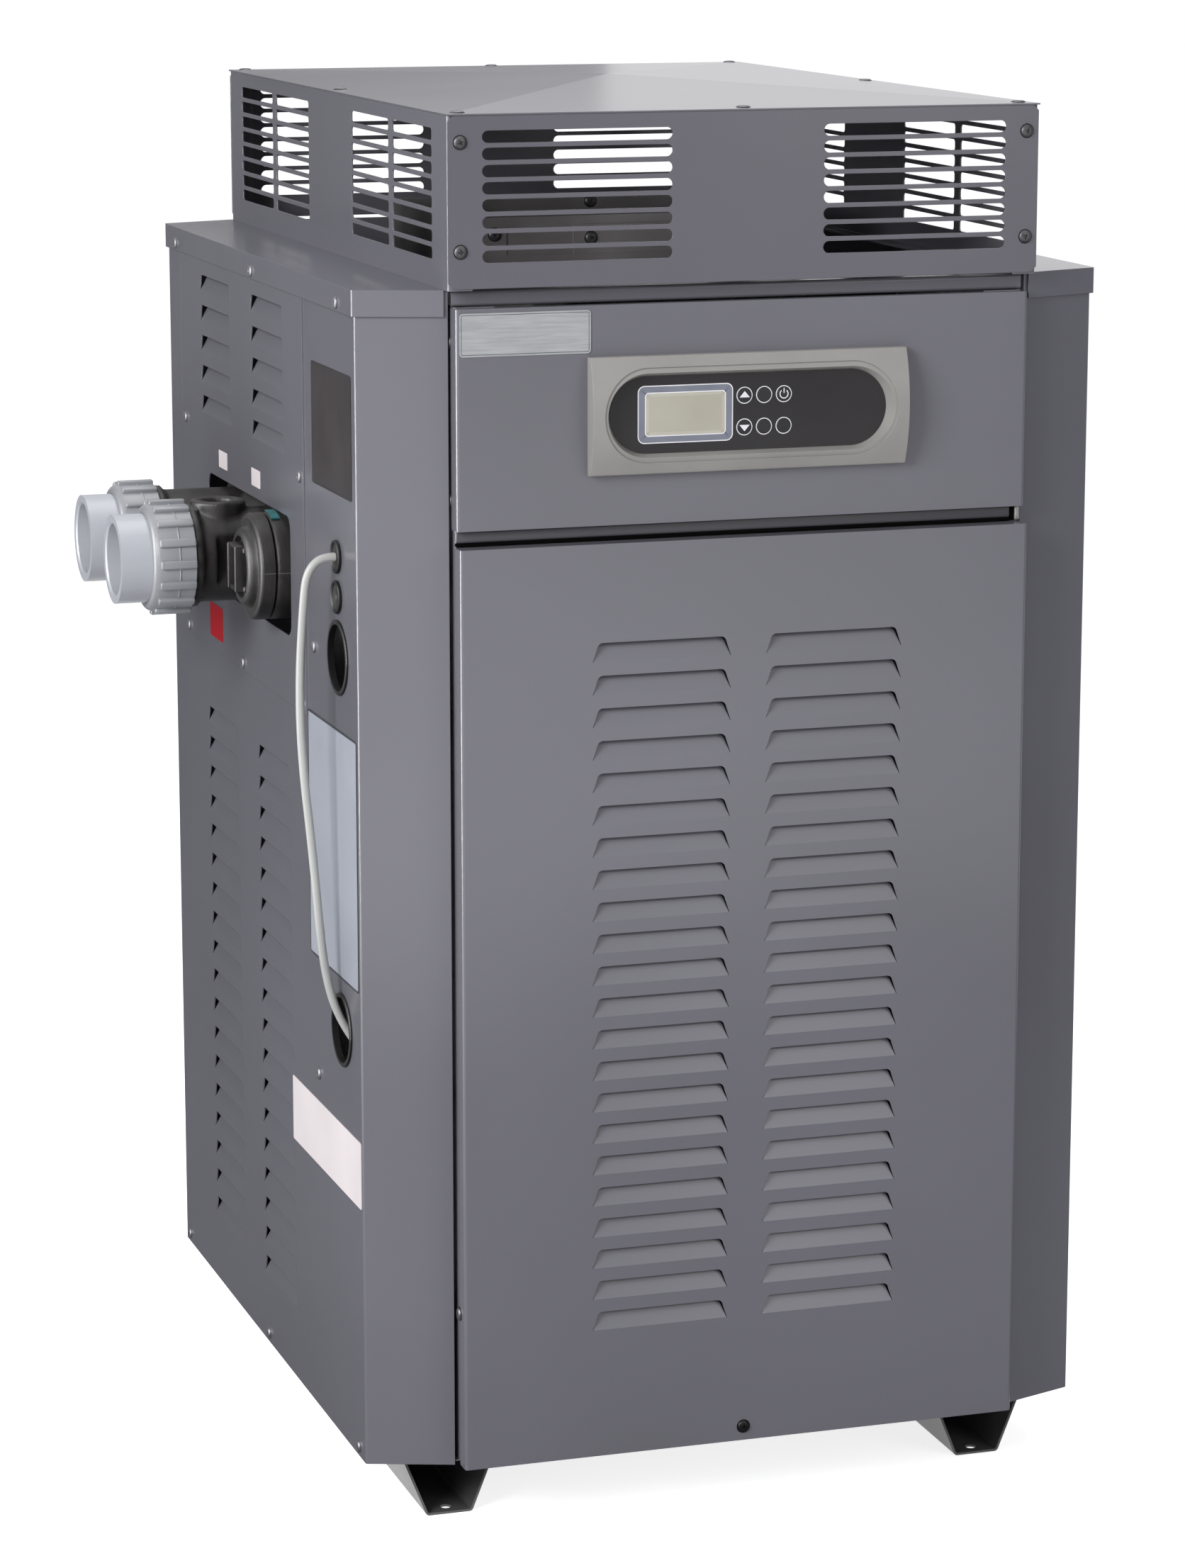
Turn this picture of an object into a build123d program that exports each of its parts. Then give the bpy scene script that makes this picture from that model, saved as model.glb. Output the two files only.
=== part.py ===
from build123d import *
import math
import os

# Pool heater, in millimetres. +Z is up, the front faces -Y and the pipe unions point to -X.
# The origin is on the floor, in the middle of the four anchor holes of the foot rails.

# Cabinet: plan size, chamfered corners and heights
cabinet_width = 622.0
side_length = 653.0
corner_width = 69.0
corner_depth = 24.0
sheet = 1.2
bend = 2.6
foot_height = 60.0
panel_drop = 2.6
seat = 0.3

# Foot rails
rail_setback = 16.5
rail_inset = 75.6
rail_sheet = 2.0
rail_tread = 39.2
rail_spread = 23.0
rail_flange = 14.0
anchor_inset = 12.2
anchor_hole_r = 4.5

# Lids on the side boxes
lid_skirt = 20.8
lid_overhang = 2.7
lid_gap = 3.7
lid_tongue = 10.0

# Draught hood
hood_height = 136.0
hood_front_lead = 15.0
hood_side_lap = 3.7
hood_return = 20.0
hood_flange = 14.0
hood_raise = 1.5
hood_corner_cut = 4.5
hood_top_lap = 0.8
hood_crown = 10.0
slot_height = 9.5
slot_pitch = 13.15
slot_drop = 17.8
slot_foot = 20.0
front_slot_margin = 27.7
front_slot_gap = 126.0
side_slot_margin = 45.0
side_slot_web = 12.0
side_slot_gap = 142.0
side_slot_radius = 3.0

# Louvres pressed inwards, shared by the door and the panels
louvre_width = 116.0
louvre_top = 106.0
louvre_height = 15.4
louvre_depth = 6.0
louvre_radius = 5.0
louvre_nick = 0.5

# Left, right and rear panel louvres
side_louvre_pitch = 27.0
side_louvre_clear = 50.0
side_louvre_first = 78.7
side_louvre_span = 187.0
side_louvre_shift = 47.5
access_louvre_pitch = 26.6
access_louvre_drop = 33.2
access_louvre_clear = 45.0
rear_louvre_rows = 12
rear_louvre_first = 300.0
rear_louvre_span = 150.0
rear_flange = 20.0

# Header access panel and its opening
access_front_y = -165.0
access_rear_y = 276.0
access_below = 112.0
access_lap = 15.0
opening_margin = 1.5
opening_rear_margin = 14.0
opening_low_margin = 9.0
opening_radius = 12.0

# Front frame: two posts, a rail at the top and one above the door
post_lead = 4.5
post_depth = 40.0
post_flange = 33.0
top_rail_height = 12.2
top_rail_depth = 26.0
mid_rail_height = 38.0
mid_rail_depth = 25.0
mid_rail_lap = 12.6

# Door and control panel
door_gap = 2.5
door_lead = 22.6
door_height = 755.8
door_lip = 12.0
door_rise = 2.4
door_louvre_foot = 100.0
door_louvre_pitch = 26.35
door_louvre_drop = 79.0
door_louvre_span = 146.0
control_lead = 14.0
control_height = 174.0
control_flange = 26.0
control_gap = 13.3
control_reveal = 12.8
control_screw_setback = 19.5

# Controller
controller_x = 0.0
controller_drop = 87.0
bezel_width = 265.0
bezel_height = 93.4
bezel_edge = 7.0
bezel_crown = 16.5
bezel_end_lean = 2.0
pocket_width = 246.0
pocket_height = 75.0
pocket_ledge = 2.2
pocket_ledge_drop = 1.0
pocket_taper = 4.6
overlay_depth = 11.5
overlay_sheet = 1.0
bezel_floor = 2.0
bezel_cutout_margin = 9.0
window_width = 62.0
window_height = 33.3
window_x = -53.1
key_radius = 5.8
key_gap = 0.2
key_travel = 0.5
key_proud = 0.6
key_columns = (-3.8, 12.7, 29.3)
key_rise = 12.6
board_sheet = 1.6
board_depth = 5.5
board_boss_r = 3.0

# Control box behind the control panel
control_box_width = 280.0
control_box_height = 130.0
control_box_depth = 90.0
control_box_setback = 7.0

# Heat exchanger and headers
header_drop = 252.7
header_room = 79.0
exchanger_y = 30.0
tube_count = 6
tube_pitch = 46.0
tube_r = 12.5
fin_r = 22.0
tube_fit = 0.1
tube_sheet_thick = 12.0
tube_sheet_height = 118.0
header_flange = 14.0
header_depth = 54.0
header_length = 284.0
header_height = 82.0
header_wall = 8.0
header_round = 12.0
header_partition = 12.0
bolt_head_r = 7.8
bolt_head = 6.0
bolt_pitch = 84.0

# Ports, drum and cap of the left header
port_y = 0.0
port_spacing = 124.0
neck_r = 39.5
neck_bore_r = 25.5
neck_reach = 63.0
collar_r = 43.5
collar_length = 7.0
thread_r = 41.0
thread_length = 24.0
relief_reach = 34.5
relief_r = 23.4
relief_bore_r = 13.0
relief_rise = 47.5
drum_y = -72.0
drum_r = 45.0
drum_reach = 12.0
cap_r = 44.0
cap_disc = 11.7
cap_round = 2.5
cap_room = 0.5
cap_step_r = 33.0
cap_step = 6.0
cap_grip_length = 52.0
cap_grip_width = 16.0
cap_grip = 14.0

# Pipe unions
tail_r = 37.7
tail_socket_r = 30.35
tail_socket_stop = 2.0
tail_mouth = 1.4
tail_length = 36.0
tail_flange_r = 40.3
tail_flange = 6.0
seal_thick = 3.0
seal_wall = 7.0
nut_r = 46.4
nut_lip = 3.7
nut_round = 3.0
nut_thread_gap = 0.5
nut_running = 0.08
rib_count = 16
rib_height = 2.6
rib_width = 6.6

# Firebox, burners and gas train
jacket_inset = 5.0
jacket_depth = 336.0
board_thick = 25.0
tray_z = 200.0
tray_room = 39.0
tray_wall = 30.0
tray_front_lap = 15.0
tray_front_height = 130.0
tray_hole_gap = 2.0
tray_hole_height = 100.0
burner_r = 16.0
burner_pitch = 50.0
burner_ribbon = 10.0
manifold_r = 13.5
manifold_lead = 26.0
bracket_width = 10.0
bracket_inset = 8.0
spud_r = 4.0
valve_width = 90.0
valve_depth = 90.0
valve_height = 80.0
valve_lead = 62.0
knob_r = 16.0
knob_length = 14.0
knob_stem_r = 4.0
knob_running = 0.05
stub_length = 105.0
pilot_width = 24.0
pilot_rod_r = 3.0
pilot_rod_side = 5.0
pilot_gap = 3.0
flue_taper_x = 77.0
flue_taper_y = 58.0
flue_shoulder_drop = 28.7
flue_rise = 32.1

# Grommets and the cable
small_grommet_r = 13.5
entry_grommet_r = 30.5
entry_bore_r = 27.0
entry_wall = 1.7
grommet_flange = 2.0
grommet_y = -268.0
cable_grommet_rise = 36.0
blank_grommet_rise = 3.5
upper_entry_drop = 45.8
lower_entry_drop = 353.4
cable_r = 3.5

# Screws
screw_r = 5.2
screw_head = 2.2

# Places worked out from the sizes above
half = cabinet_width / 2
corner_x = half - corner_width
side_y = side_length / 2
corner_y = side_y + corner_depth
rail_length = side_length - 2 * rail_setback
anchor_spacing_x = cabinet_width - 2 * rail_inset
anchor_spacing_y = rail_length - 2 * anchor_inset
case_bottom = foot_height - panel_drop
pan_top = foot_height + sheet
door_half = corner_x - door_gap
door_front = -(corner_y + door_lead)
door_bottom = case_bottom + door_rise
door_top = door_bottom + door_height
door_louvre_space = door_height - door_louvre_drop - louvre_height - door_louvre_foot
door_louvre_rows = 1 + int(door_louvre_space / door_louvre_pitch)
post_front = -(corner_y + post_lead)
post_x = door_half - sheet
mid_rail_bottom = door_top - mid_rail_lap
control_front = -(corner_y + control_lead)
control_bottom = door_top + control_gap
control_top = control_bottom + control_height
panel_top = control_top + control_reveal
lid_top = panel_top + sheet
post_top = panel_top - top_rail_height
hood_x = corner_x + hood_side_lap
hood_front_y = -(corner_y + hood_front_lead)
hood_rear_y = corner_y
hood_length = hood_rear_y - hood_front_y
hood_mid_y = (hood_front_y + hood_rear_y) / 2
hood_top_z = lid_top + hood_height
first_slot_z = hood_top_z - slot_drop
slot_rows = 1 + int((hood_height - slot_drop - slot_foot) / slot_pitch)
front_slot_length = hood_x - front_slot_gap / 2 - front_slot_margin
side_slot_length = (hood_length / 2 - side_slot_gap / 2 - side_slot_web - side_slot_margin) / 2
header_z = panel_top - header_drop
header_top = header_z + header_height / 2
sheet_top = header_z + tube_sheet_height / 2
sheet_bottom = header_z - tube_sheet_height / 2
access_face = -half - sheet
access_bottom = header_z - access_below
opening_top = header_z + drum_r + opening_margin
access_louvre_space = panel_top - access_louvre_drop - louvre_height - opening_top - access_louvre_clear
access_louvre_rows = 1 + int(access_louvre_space / access_louvre_pitch)
side_louvre_space = access_bottom - case_bottom - side_louvre_first - side_louvre_clear
side_louvre_rows = 1 + int(side_louvre_space / side_louvre_pitch)
exchanger_half = half - header_room
flange_face = exchanger_half + header_flange
body_face = flange_face + header_depth
neck_end = -half - neck_reach
thread_end = neck_end - thread_length
relief_x = -half - relief_reach
drum_end = -half - drum_reach
seal_end = thread_end - seal_thick
tail_end = seal_end - tail_length
jacket_half = exchanger_half - jacket_inset
jacket_front = exchanger_y - jacket_depth / 2
jacket_rear = exchanger_y + jacket_depth / 2
flue_neck_half = jacket_half - flue_taper_x
flue_neck_depth = jacket_depth - 2 * flue_taper_y
flue_shoulder = panel_top - flue_shoulder_drop - sheet_top
flue_collar = lid_top + flue_rise - panel_top + flue_shoulder_drop
controller_z = control_top - controller_drop
pocket_wall_width = pocket_width - 2 * pocket_ledge
pocket_wall_height = pocket_height - 2 * pocket_ledge
pocket_floor_width = pocket_wall_width - 2 * pocket_taper
pocket_floor_height = pocket_wall_height - 2 * pocket_taper
overlay_front = control_front - bezel_crown + overlay_depth
overlay_back = overlay_front + overlay_sheet
board_front = control_front + board_depth
valve_rear = jacket_front - valve_lead
valve_front = valve_rear - valve_depth
tray_half = jacket_half - tray_room
tray_hole_half = tray_half + tray_hole_gap
tray_front_half = tray_hole_half + tray_front_lap
burner_z = tray_z + sheet + burner_r + seat
burner_count = int(2 * tray_half / burner_pitch)
manifold_half = burner_count * burner_pitch / 2
bracket_x = manifold_half - bracket_inset
pilot_x = bracket_x + bracket_width / 2 + pilot_gap + pilot_rod_r + pilot_rod_side
valve_bottom = burner_z - valve_height / 2
cable_grommet_z = header_z + cable_grommet_rise
blank_grommet_z = header_z + blank_grommet_rise
upper_entry_z = header_z - upper_entry_drop
lower_entry_z = header_z - lower_entry_drop


def block(x0, x1, y0, y1, z0, z1):
    """Box given by its low and high sides."""
    middle = Pos((x0 + x1) / 2, (y0 + y1) / 2, (z0 + z1) / 2)
    return middle * Box(x1 - x0, y1 - y0, z1 - z0)


def rod(start, direction, radius, length):
    """Round bar from a point, along a direction."""
    plane = Plane(origin=start, z_dir=direction)
    return plane * Cylinder(radius, length, align=(Align.CENTER, Align.CENTER, Align.MIN))


def tube(start, direction, radius, bore, length):
    """Round bar with a hole right through it."""
    return rod(start, direction, radius, length) - rod(start, direction, bore, length)


def moved_left(points, distance):
    """Open path of straight runs, moved to its own left, with mitred corners."""
    runs = []
    for (ax, ay), (bx, by) in zip(points, points[1:]):
        length = math.hypot(bx - ax, by - ay)
        runs.append(((bx - ax) / length, (by - ay) / length))
    normals = [(-dy, dx) for dx, dy in runs]
    moved = [(points[0][0] + distance * normals[0][0], points[0][1] + distance * normals[0][1])]
    for (x, y), (nx, ny), (mx, my) in zip(points[1:-1], normals, normals[1:]):
        share = distance / (1 + nx * mx + ny * my)
        moved.append((x + share * (nx + mx), y + share * (ny + my)))
    moved.append((points[-1][0] + distance * normals[-1][0], points[-1][1] + distance * normals[-1][1]))
    return moved


def folded(points, thick=sheet, radius=bend):
    """Section of a bent sheet: the path is one face, the thickness lies on its left."""
    near, far = [], []
    for (ax, ay), (bx, by), (cx, cy) in zip(points, points[1:], points[2:]):
        turns_left = (bx - ax) * (cy - by) - (by - ay) * (cx - bx) > 0
        near.append(radius if turns_left else radius - thick)
        far.append(radius - thick if turns_left else radius)
    other = moved_left(points, thick)
    first = FilletPolyline(*points, radius=near)
    second = FilletPolyline(*other, radius=far)
    ends = [Line(points[0], other[0]), Line(points[-1], other[-1])]
    return make_face([*first.edges(), *second.edges(), *ends])


def upright(face, z0, z1):
    """Section in plan, pulled up between two heights."""
    return Pos(0, 0, z0) * extrude(face, amount=z1 - z0)


def front_plate(sketch, y, thick=sheet):
    """Sketch in X and Z made into a sheet whose front is at y."""
    return Pos(0, y + thick, 0) * extrude(Plane.XZ * sketch, amount=thick)


def side_plate(sketch, x, thick=sheet):
    """Sketch in Y and Z made into a sheet that starts at x and grows to +X."""
    return Pos(x, 0, 0) * extrude(Plane.YZ * sketch, amount=thick)


def louvre_face(inset):
    """Outline of one louvre: straight foot on the x axis, rounded upper corners."""
    foot = louvre_width / 2 - inset
    top = louvre_top / 2 - inset
    shape = Polygon((-foot, 0), (foot, 0), (top, louvre_height), (-top, louvre_height), align=None)
    return fillet(shape.vertices().group_by(Axis.Y)[-1], louvre_radius)


def with_louvres(panel, places):
    """Each louvre is lanced on three sides and pressed inwards at its top."""
    cutter = front_plate(louvre_face(0), -sheet, 3 * sheet)
    tilt = math.degrees(math.asin(louvre_depth / louvre_height))
    flap = Rot(X=-tilt) * front_plate(louvre_face(louvre_nick), 0)
    opened = panel - [place * cutter for place in places]
    return opened + [place * flap for place in places]


def louvre_places(columns, rows, top_z, pitch, place):
    """One place per louvre, from the top row down."""
    feet = [top_z - louvre_height - row * pitch for row in range(rows)]
    return [place(column, foot) for column in columns for foot in feet]


def case_path(sign):
    """Plan path of a side box's outer face, from the front corner to the rear one, sheet inside."""
    run = corner_width / corner_depth
    extra = 2 * bend
    front = (-corner_x + extra, -corner_y - extra / run)
    rear = (-corner_x + extra, corner_y + extra / run)
    path = [front, (-half, -side_y), (-half, side_y), rear]
    if sign < 0:
        return path[::-1]
    return [(-x, y) for x, y in path]


def side_shell(sign):
    """Side panel bent with both corner chamfers, before its holes; sign is -1 for the left."""
    path = case_path(sign)
    shell = upright(folded(path), case_bottom, panel_top)
    middle = block(-corner_x, corner_x, -2 * corner_y, 2 * corner_y, 0, 2 * panel_top)
    return shell - middle


def foot_rail(sign):
    """Open channel with sloping sides and two flanges under the base pan."""
    tread = rail_tread / 2
    top = tread + rail_spread
    high = foot_height - rail_sheet
    path = [(-top - rail_flange, high), (-top, high), (-tread, 0), (tread, 0), (top, high), (top + rail_flange, high)]
    section = folded(path, rail_sheet, 2 * rail_sheet)
    rail = extrude(Plane.XZ * section, amount=rail_length / 2, both=True)
    for end in (-1, 1):
        rail -= rod((0, end * anchor_spacing_y / 2, -rail_sheet), (0, 0, 1), anchor_hole_r, 3 * rail_sheet)
    return Pos(sign * anchor_spacing_x / 2, 0, 0) * rail


def base_pan():
    """Eight-sided floor with turned-up edges along both sides."""
    outline = []
    for sx, sy in ((-1, -1), (-1, 1), (1, 1), (1, -1)):
        corner = [(sx * corner_x, sy * corner_y), (sx * half, sy * side_y)]
        outline += corner if sx * sy > 0 else corner[::-1]
    floor = offset(make_face(Polyline(*outline, close=True)), -sheet - seat, kind=Kind.INTERSECTION)
    pan = upright(floor, foot_height, pan_top)
    slot = corner_x - 2 * seat - sheet
    for sign in (-1, 1):
        low, high = sorted((sign * slot, sign * (corner_x + seat)))
        pan -= block(low, high, corner_y - rear_flange - seat, corner_y, 0, pan_top + 1)
    inner = half - sheet - seat
    reach = side_y - 2 * bend
    for x in (-inner, inner - sheet):
        pan += block(x, x + sheet, -reach, reach, foot_height, foot_height + 30)
    return pan


def side_louvres(sign):
    """Places of the two lower columns of louvres on a side panel."""
    turn = 90 * sign
    columns = [side_louvre_shift - side_louvre_span / 2, side_louvre_shift + side_louvre_span / 2]
    top_z = case_bottom + side_louvre_first + (side_louvre_rows - 1) * side_louvre_pitch
    return louvre_places(columns, side_louvre_rows, top_z, side_louvre_pitch,
                         lambda y, z: Pos(sign * half, y, z) * Rot(Z=turn))


def left_side_panel():
    """Left panel, cut away behind the access panel and holed for the grommets."""
    panel = with_louvres(side_shell(-1), side_louvres(-1))
    window = block(-half - sheet, -half + 2 * sheet, access_front_y + access_lap, access_rear_y - access_lap,
                   access_bottom + access_lap, panel_top - 2 * access_lap)
    panel -= window
    for z in (cable_grommet_z, blank_grommet_z):
        panel -= rod((-half - sheet, grommet_y, z), (1, 0, 0), small_grommet_r - grommet_flange, 3 * sheet)
    for z in (upper_entry_z, lower_entry_z):
        panel -= rod((-half - sheet, grommet_y, z), (1, 0, 0), entry_bore_r + entry_wall + seat, 3 * sheet)
    return panel


def right_side_panel():
    return with_louvres(side_shell(1), side_louvres(1))


def header_access_panel():
    """Flat sheet over the left panel, with five rows of louvres and the header's opening."""
    low_y = drum_y - drum_r - opening_margin
    high_y = port_y + port_spacing + neck_r + opening_rear_margin
    high_z = opening_top
    low_z = header_z - drum_r - opening_low_margin
    length = access_rear_y - access_front_y
    height = panel_top - access_bottom
    sketch = Pos((access_front_y + access_rear_y) / 2, (panel_top + access_bottom) / 2) * Rectangle(length, height)
    hole = RectangleRounded(high_y - low_y, high_z - low_z, opening_radius)
    sketch -= Pos((low_y + high_y) / 2, (low_z + high_z) / 2) * hole
    panel = side_plate(sketch, access_face)
    columns = [side_louvre_shift - side_louvre_span / 2, side_louvre_shift + side_louvre_span / 2]
    places = louvre_places(columns, access_louvre_rows, panel_top - access_louvre_drop, access_louvre_pitch,
                           lambda y, z: Pos(access_face, y, z) * Rot(Z=-90))
    return with_louvres(panel, places)


def rear_panel():
    """Rear pan between the two rear corners, with two columns of louvres."""
    side = corner_x - seat
    depth = corner_y - rear_flange
    path = [(side, depth), (side, corner_y), (-side, corner_y), (-side, depth)]
    pan = upright(folded(path), case_bottom, panel_top)
    columns = [-rear_louvre_span / 2, rear_louvre_span / 2]
    top_z = rear_louvre_first + (rear_louvre_rows - 1) * side_louvre_pitch
    return with_louvres(pan, louvre_places(columns, rear_louvre_rows, top_z, side_louvre_pitch,
                                           lambda x, z: Pos(x, corner_y, z) * Rot(Z=180)))


def front_post(sign):
    """Angle that the door closes on and the control panel is screwed to."""
    path = [(-post_x + post_flange, post_front), (-post_x, post_front), (-post_x, post_front + post_depth)]
    post = upright(folded(path[::-1]), pan_top, post_top)
    return post if sign < 0 else mirror(post, about=Plane.YZ)


def channel(x, y, z0, z1, depth):
    """Front rail: web at the front, two flanges to the rear."""
    path = [(y + depth, z1), (y, z1), (y, z0), (y + depth, z0)]
    return extrude(Plane.YZ * folded(path), amount=x, both=True)


def mid_rail():
    return channel(post_x - bend, post_front + sheet, mid_rail_bottom, mid_rail_bottom + mid_rail_height, mid_rail_depth)


def front_top_rail():
    return channel(corner_x - 2 * sheet - seat, -corner_y, post_top, panel_top, top_rail_depth)


def lid(sign):
    """Flat top with a skirt round the three outer sides of the box below."""
    run = corner_depth / corner_width
    outer = moved_left([(-corner_x, -corner_y), (-half, -side_y), (-half, side_y), (-corner_x, corner_y)], lid_overhang)
    inner_x = -corner_x - lid_gap
    front = (inner_x, outer[1][1] - (inner_x - outer[1][0]) * run)
    rear = (inner_x, outer[2][1] + (inner_x - outer[2][0]) * run)
    path = [rear, outer[2], outer[1], front]
    skirt = upright(folded(path), lid_top - lid_skirt, lid_top)
    inside = moved_left(path, sheet / 2)
    top = upright(make_face(Polyline(*inside, close=True)), panel_top, lid_top)
    tongue_end = inner_x + lid_gap + lid_tongue
    tongue = block(inner_x, tongue_end, inside[-1][1] + 2 * sheet, inside[0][1] - 2 * sheet, panel_top, lid_top)
    whole = skirt + top + tongue
    return whole if sign < 0 else mirror(whole, about=Plane.YZ)


def slot_heights():
    return [first_slot_z - row * slot_pitch for row in range(slot_rows)]


def hood_face():
    """Outline of the hood's front or rear panel, with two groups of round-ended slots."""
    low = lid_top + hood_raise
    high = hood_top_z - sheet
    outline = Pos(0, (low + high) / 2) * Rectangle(2 * hood_x, high - low)
    outline = chamfer(outline.vertices(), hood_corner_cut)
    middle = (front_slot_gap + front_slot_length) / 2
    slot = SlotOverall(front_slot_length, slot_height)
    return outline - [Pos(x, z) * slot for x in (-middle, middle) for z in slot_heights()]


def hood_front():
    return front_plate(hood_face(), hood_front_y)


def hood_rear():
    return front_plate(hood_face(), hood_rear_y - sheet)


def hood_side(sign):
    """Side wall with a return at each end, a foot on the lid and four columns of slots."""
    y0 = hood_front_y + sheet
    y1 = hood_rear_y - sheet
    path = [(-hood_x + hood_return, y1), (-hood_x, y1), (-hood_x, y0), (-hood_x + hood_return, y0)]
    wall = upright(folded(path), lid_top, hood_top_z - sheet)
    wall += block(-hood_x + sheet / 2, -hood_x + hood_flange, y0 + 2 * bend, y1 - 2 * bend, lid_top, lid_top + sheet)
    slot = side_plate(RectangleRounded(side_slot_length, slot_height, side_slot_radius), -hood_x - sheet, 3 * sheet)
    first = (side_slot_gap + side_slot_length) / 2
    second = first + side_slot_length + side_slot_web
    columns = [-second, -first, first, second]
    wall -= [Pos(0, hood_mid_y + y, z) * slot for y in columns for z in slot_heights()]
    return wall if sign < 0 else mirror(wall, about=Plane.YZ)


def hood_top():
    """Sheet folded from corner to corner, so that its middle stands a little higher."""
    width = 2 * (hood_x + hood_top_lap)
    length = hood_length + 2 * hood_top_lap
    peak = Pos(0, 0, hood_crown) * Rectangle(2, 2)
    crown = loft([Rectangle(width, length).face(), peak.face()], ruled=True)
    plate = Pos(0, 0, -sheet) * extrude(Rectangle(width, length), amount=sheet)
    hollow = Pos(0, 0, -sheet) * loft([Rectangle(width - 60, length - 60).face(), peak.face()], ruled=True)
    return Pos(0, hood_mid_y, hood_top_z) * (plate + crown - hollow)


def screw(place, direction):
    """Pan head seated on its sheet."""
    head = rod(place, direction, screw_r, screw_head)
    return fillet(head.edges().filter_by(GeomType.CIRCLE).sort_by(lambda e: (e.center() - Vector(*place)).length)[-1:],
                  screw_head * 0.6)


def crown_height(x, y):
    """Height of the folded top sheet above one point."""
    across = 1 - abs(x) / (hood_x + hood_top_lap)
    along = 1 - abs(y - hood_mid_y) / (hood_length / 2 + hood_top_lap)
    return hood_top_z + hood_crown * min(across, along)


def hood_screws():
    """Screws round the top sheet and in the front and rear panels."""
    x = hood_x - 12
    front = hood_front_y + 14
    rear = hood_rear_y - 10
    screws = [screw((a, b, crown_height(a, b) + seat * 0.9), (0, 0, 1))
              for a, b in ((-x, front), (0, front), (x, front), (-x, rear), (0, rear), (x, rear),
                           (-x - 2, hood_mid_y), (x + 2, hood_mid_y))]
    for a in (-hood_x + 10, hood_x - 10):
        for z in (first_slot_z - 4, first_slot_z - 88):
            screws.append(screw((a, hood_front_y, z), (0, -1, 0)))
            screws.append(screw((a, hood_rear_y, z), (0, 1, 0)))
    return screws


def case_screws():
    """Screws of the side panels, the access panel, the lids and the control panel."""
    screws = []
    y_front = access_front_y + 12
    y_rear = access_rear_y - 14
    low = access_bottom + 7
    high = (access_bottom + panel_top) / 2 + 15
    for y, z in ((y_rear, low), ((y_front + y_rear) / 2, low), (y_front, low), (y_front, high), (y_rear, high)):
        screws.append(screw((access_face, y, z), (-1, 0, 0)))
    for z in (upper_entry_z - 4, lower_entry_z - 57):
        screws.append(screw((-half, access_front_y - 25, z), (-1, 0, 0)))
    for sign in (-1, 1):
        for y in (-side_y + 20, 0, side_y - 16):
            screws.append(screw((sign * half, y, case_bottom + 8), (sign, 0, 0)))
            screws.append(screw((sign * (half + lid_overhang), y * 0.92, lid_top - 14), (sign, 0, 0)))
        for z in (control_bottom + 23, control_top - 27):
            screws.append(screw((sign * door_half, control_front + control_screw_setback, z), (sign, 0, 0)))
    return screws


def door():
    """Front door: a pan with lips that close on the posts, and 44 louvres."""
    rear = post_front - seat
    path = [(door_half - door_lip, rear), (door_half, rear), (door_half, door_front),
            (-door_half, door_front), (-door_half, rear), (-door_half + door_lip, rear)]
    pan = upright(folded(path[::-1]), door_bottom, door_top)
    inner = door_half - sheet / 2
    for z in (door_bottom, door_top - sheet):
        pan += block(-inner, inner, door_front + sheet / 2, rear, z, z + sheet)
    columns = [-door_louvre_span / 2, door_louvre_span / 2]
    return with_louvres(pan, louvre_places(columns, door_louvre_rows, door_top - door_louvre_drop,
                                           door_louvre_pitch, lambda x, z: Pos(x, door_front, z)))


def door_screw():
    return screw((0, door_front, door_bottom + 12), (0, -1, 0))


def control_panel():
    """Pan above the door, screwed to the posts through its sides and cut out for the controller."""
    rear = control_front + control_flange
    path = [(-door_half, rear), (-door_half, control_front), (door_half, control_front), (door_half, rear)]
    pan = upright(folded(path), control_bottom, control_top)
    inner = door_half - sheet / 2
    for z in (control_bottom, control_top - sheet):
        pan += block(-inner, inner, control_front + sheet / 2, post_front - seat, z, z + sheet)
    width = bezel_width / 2 - bezel_cutout_margin
    height = bezel_height / 2 - bezel_cutout_margin
    return pan - block(controller_x - width, controller_x + width, control_front - sheet, control_front + 2 * sheet,
                       controller_z - height, controller_z + height)


def key_places():
    """Centres of the six keys, upper row first."""
    return [(controller_x + x, controller_z + z) for z in (key_rise, -key_rise) for x in key_columns]


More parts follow.
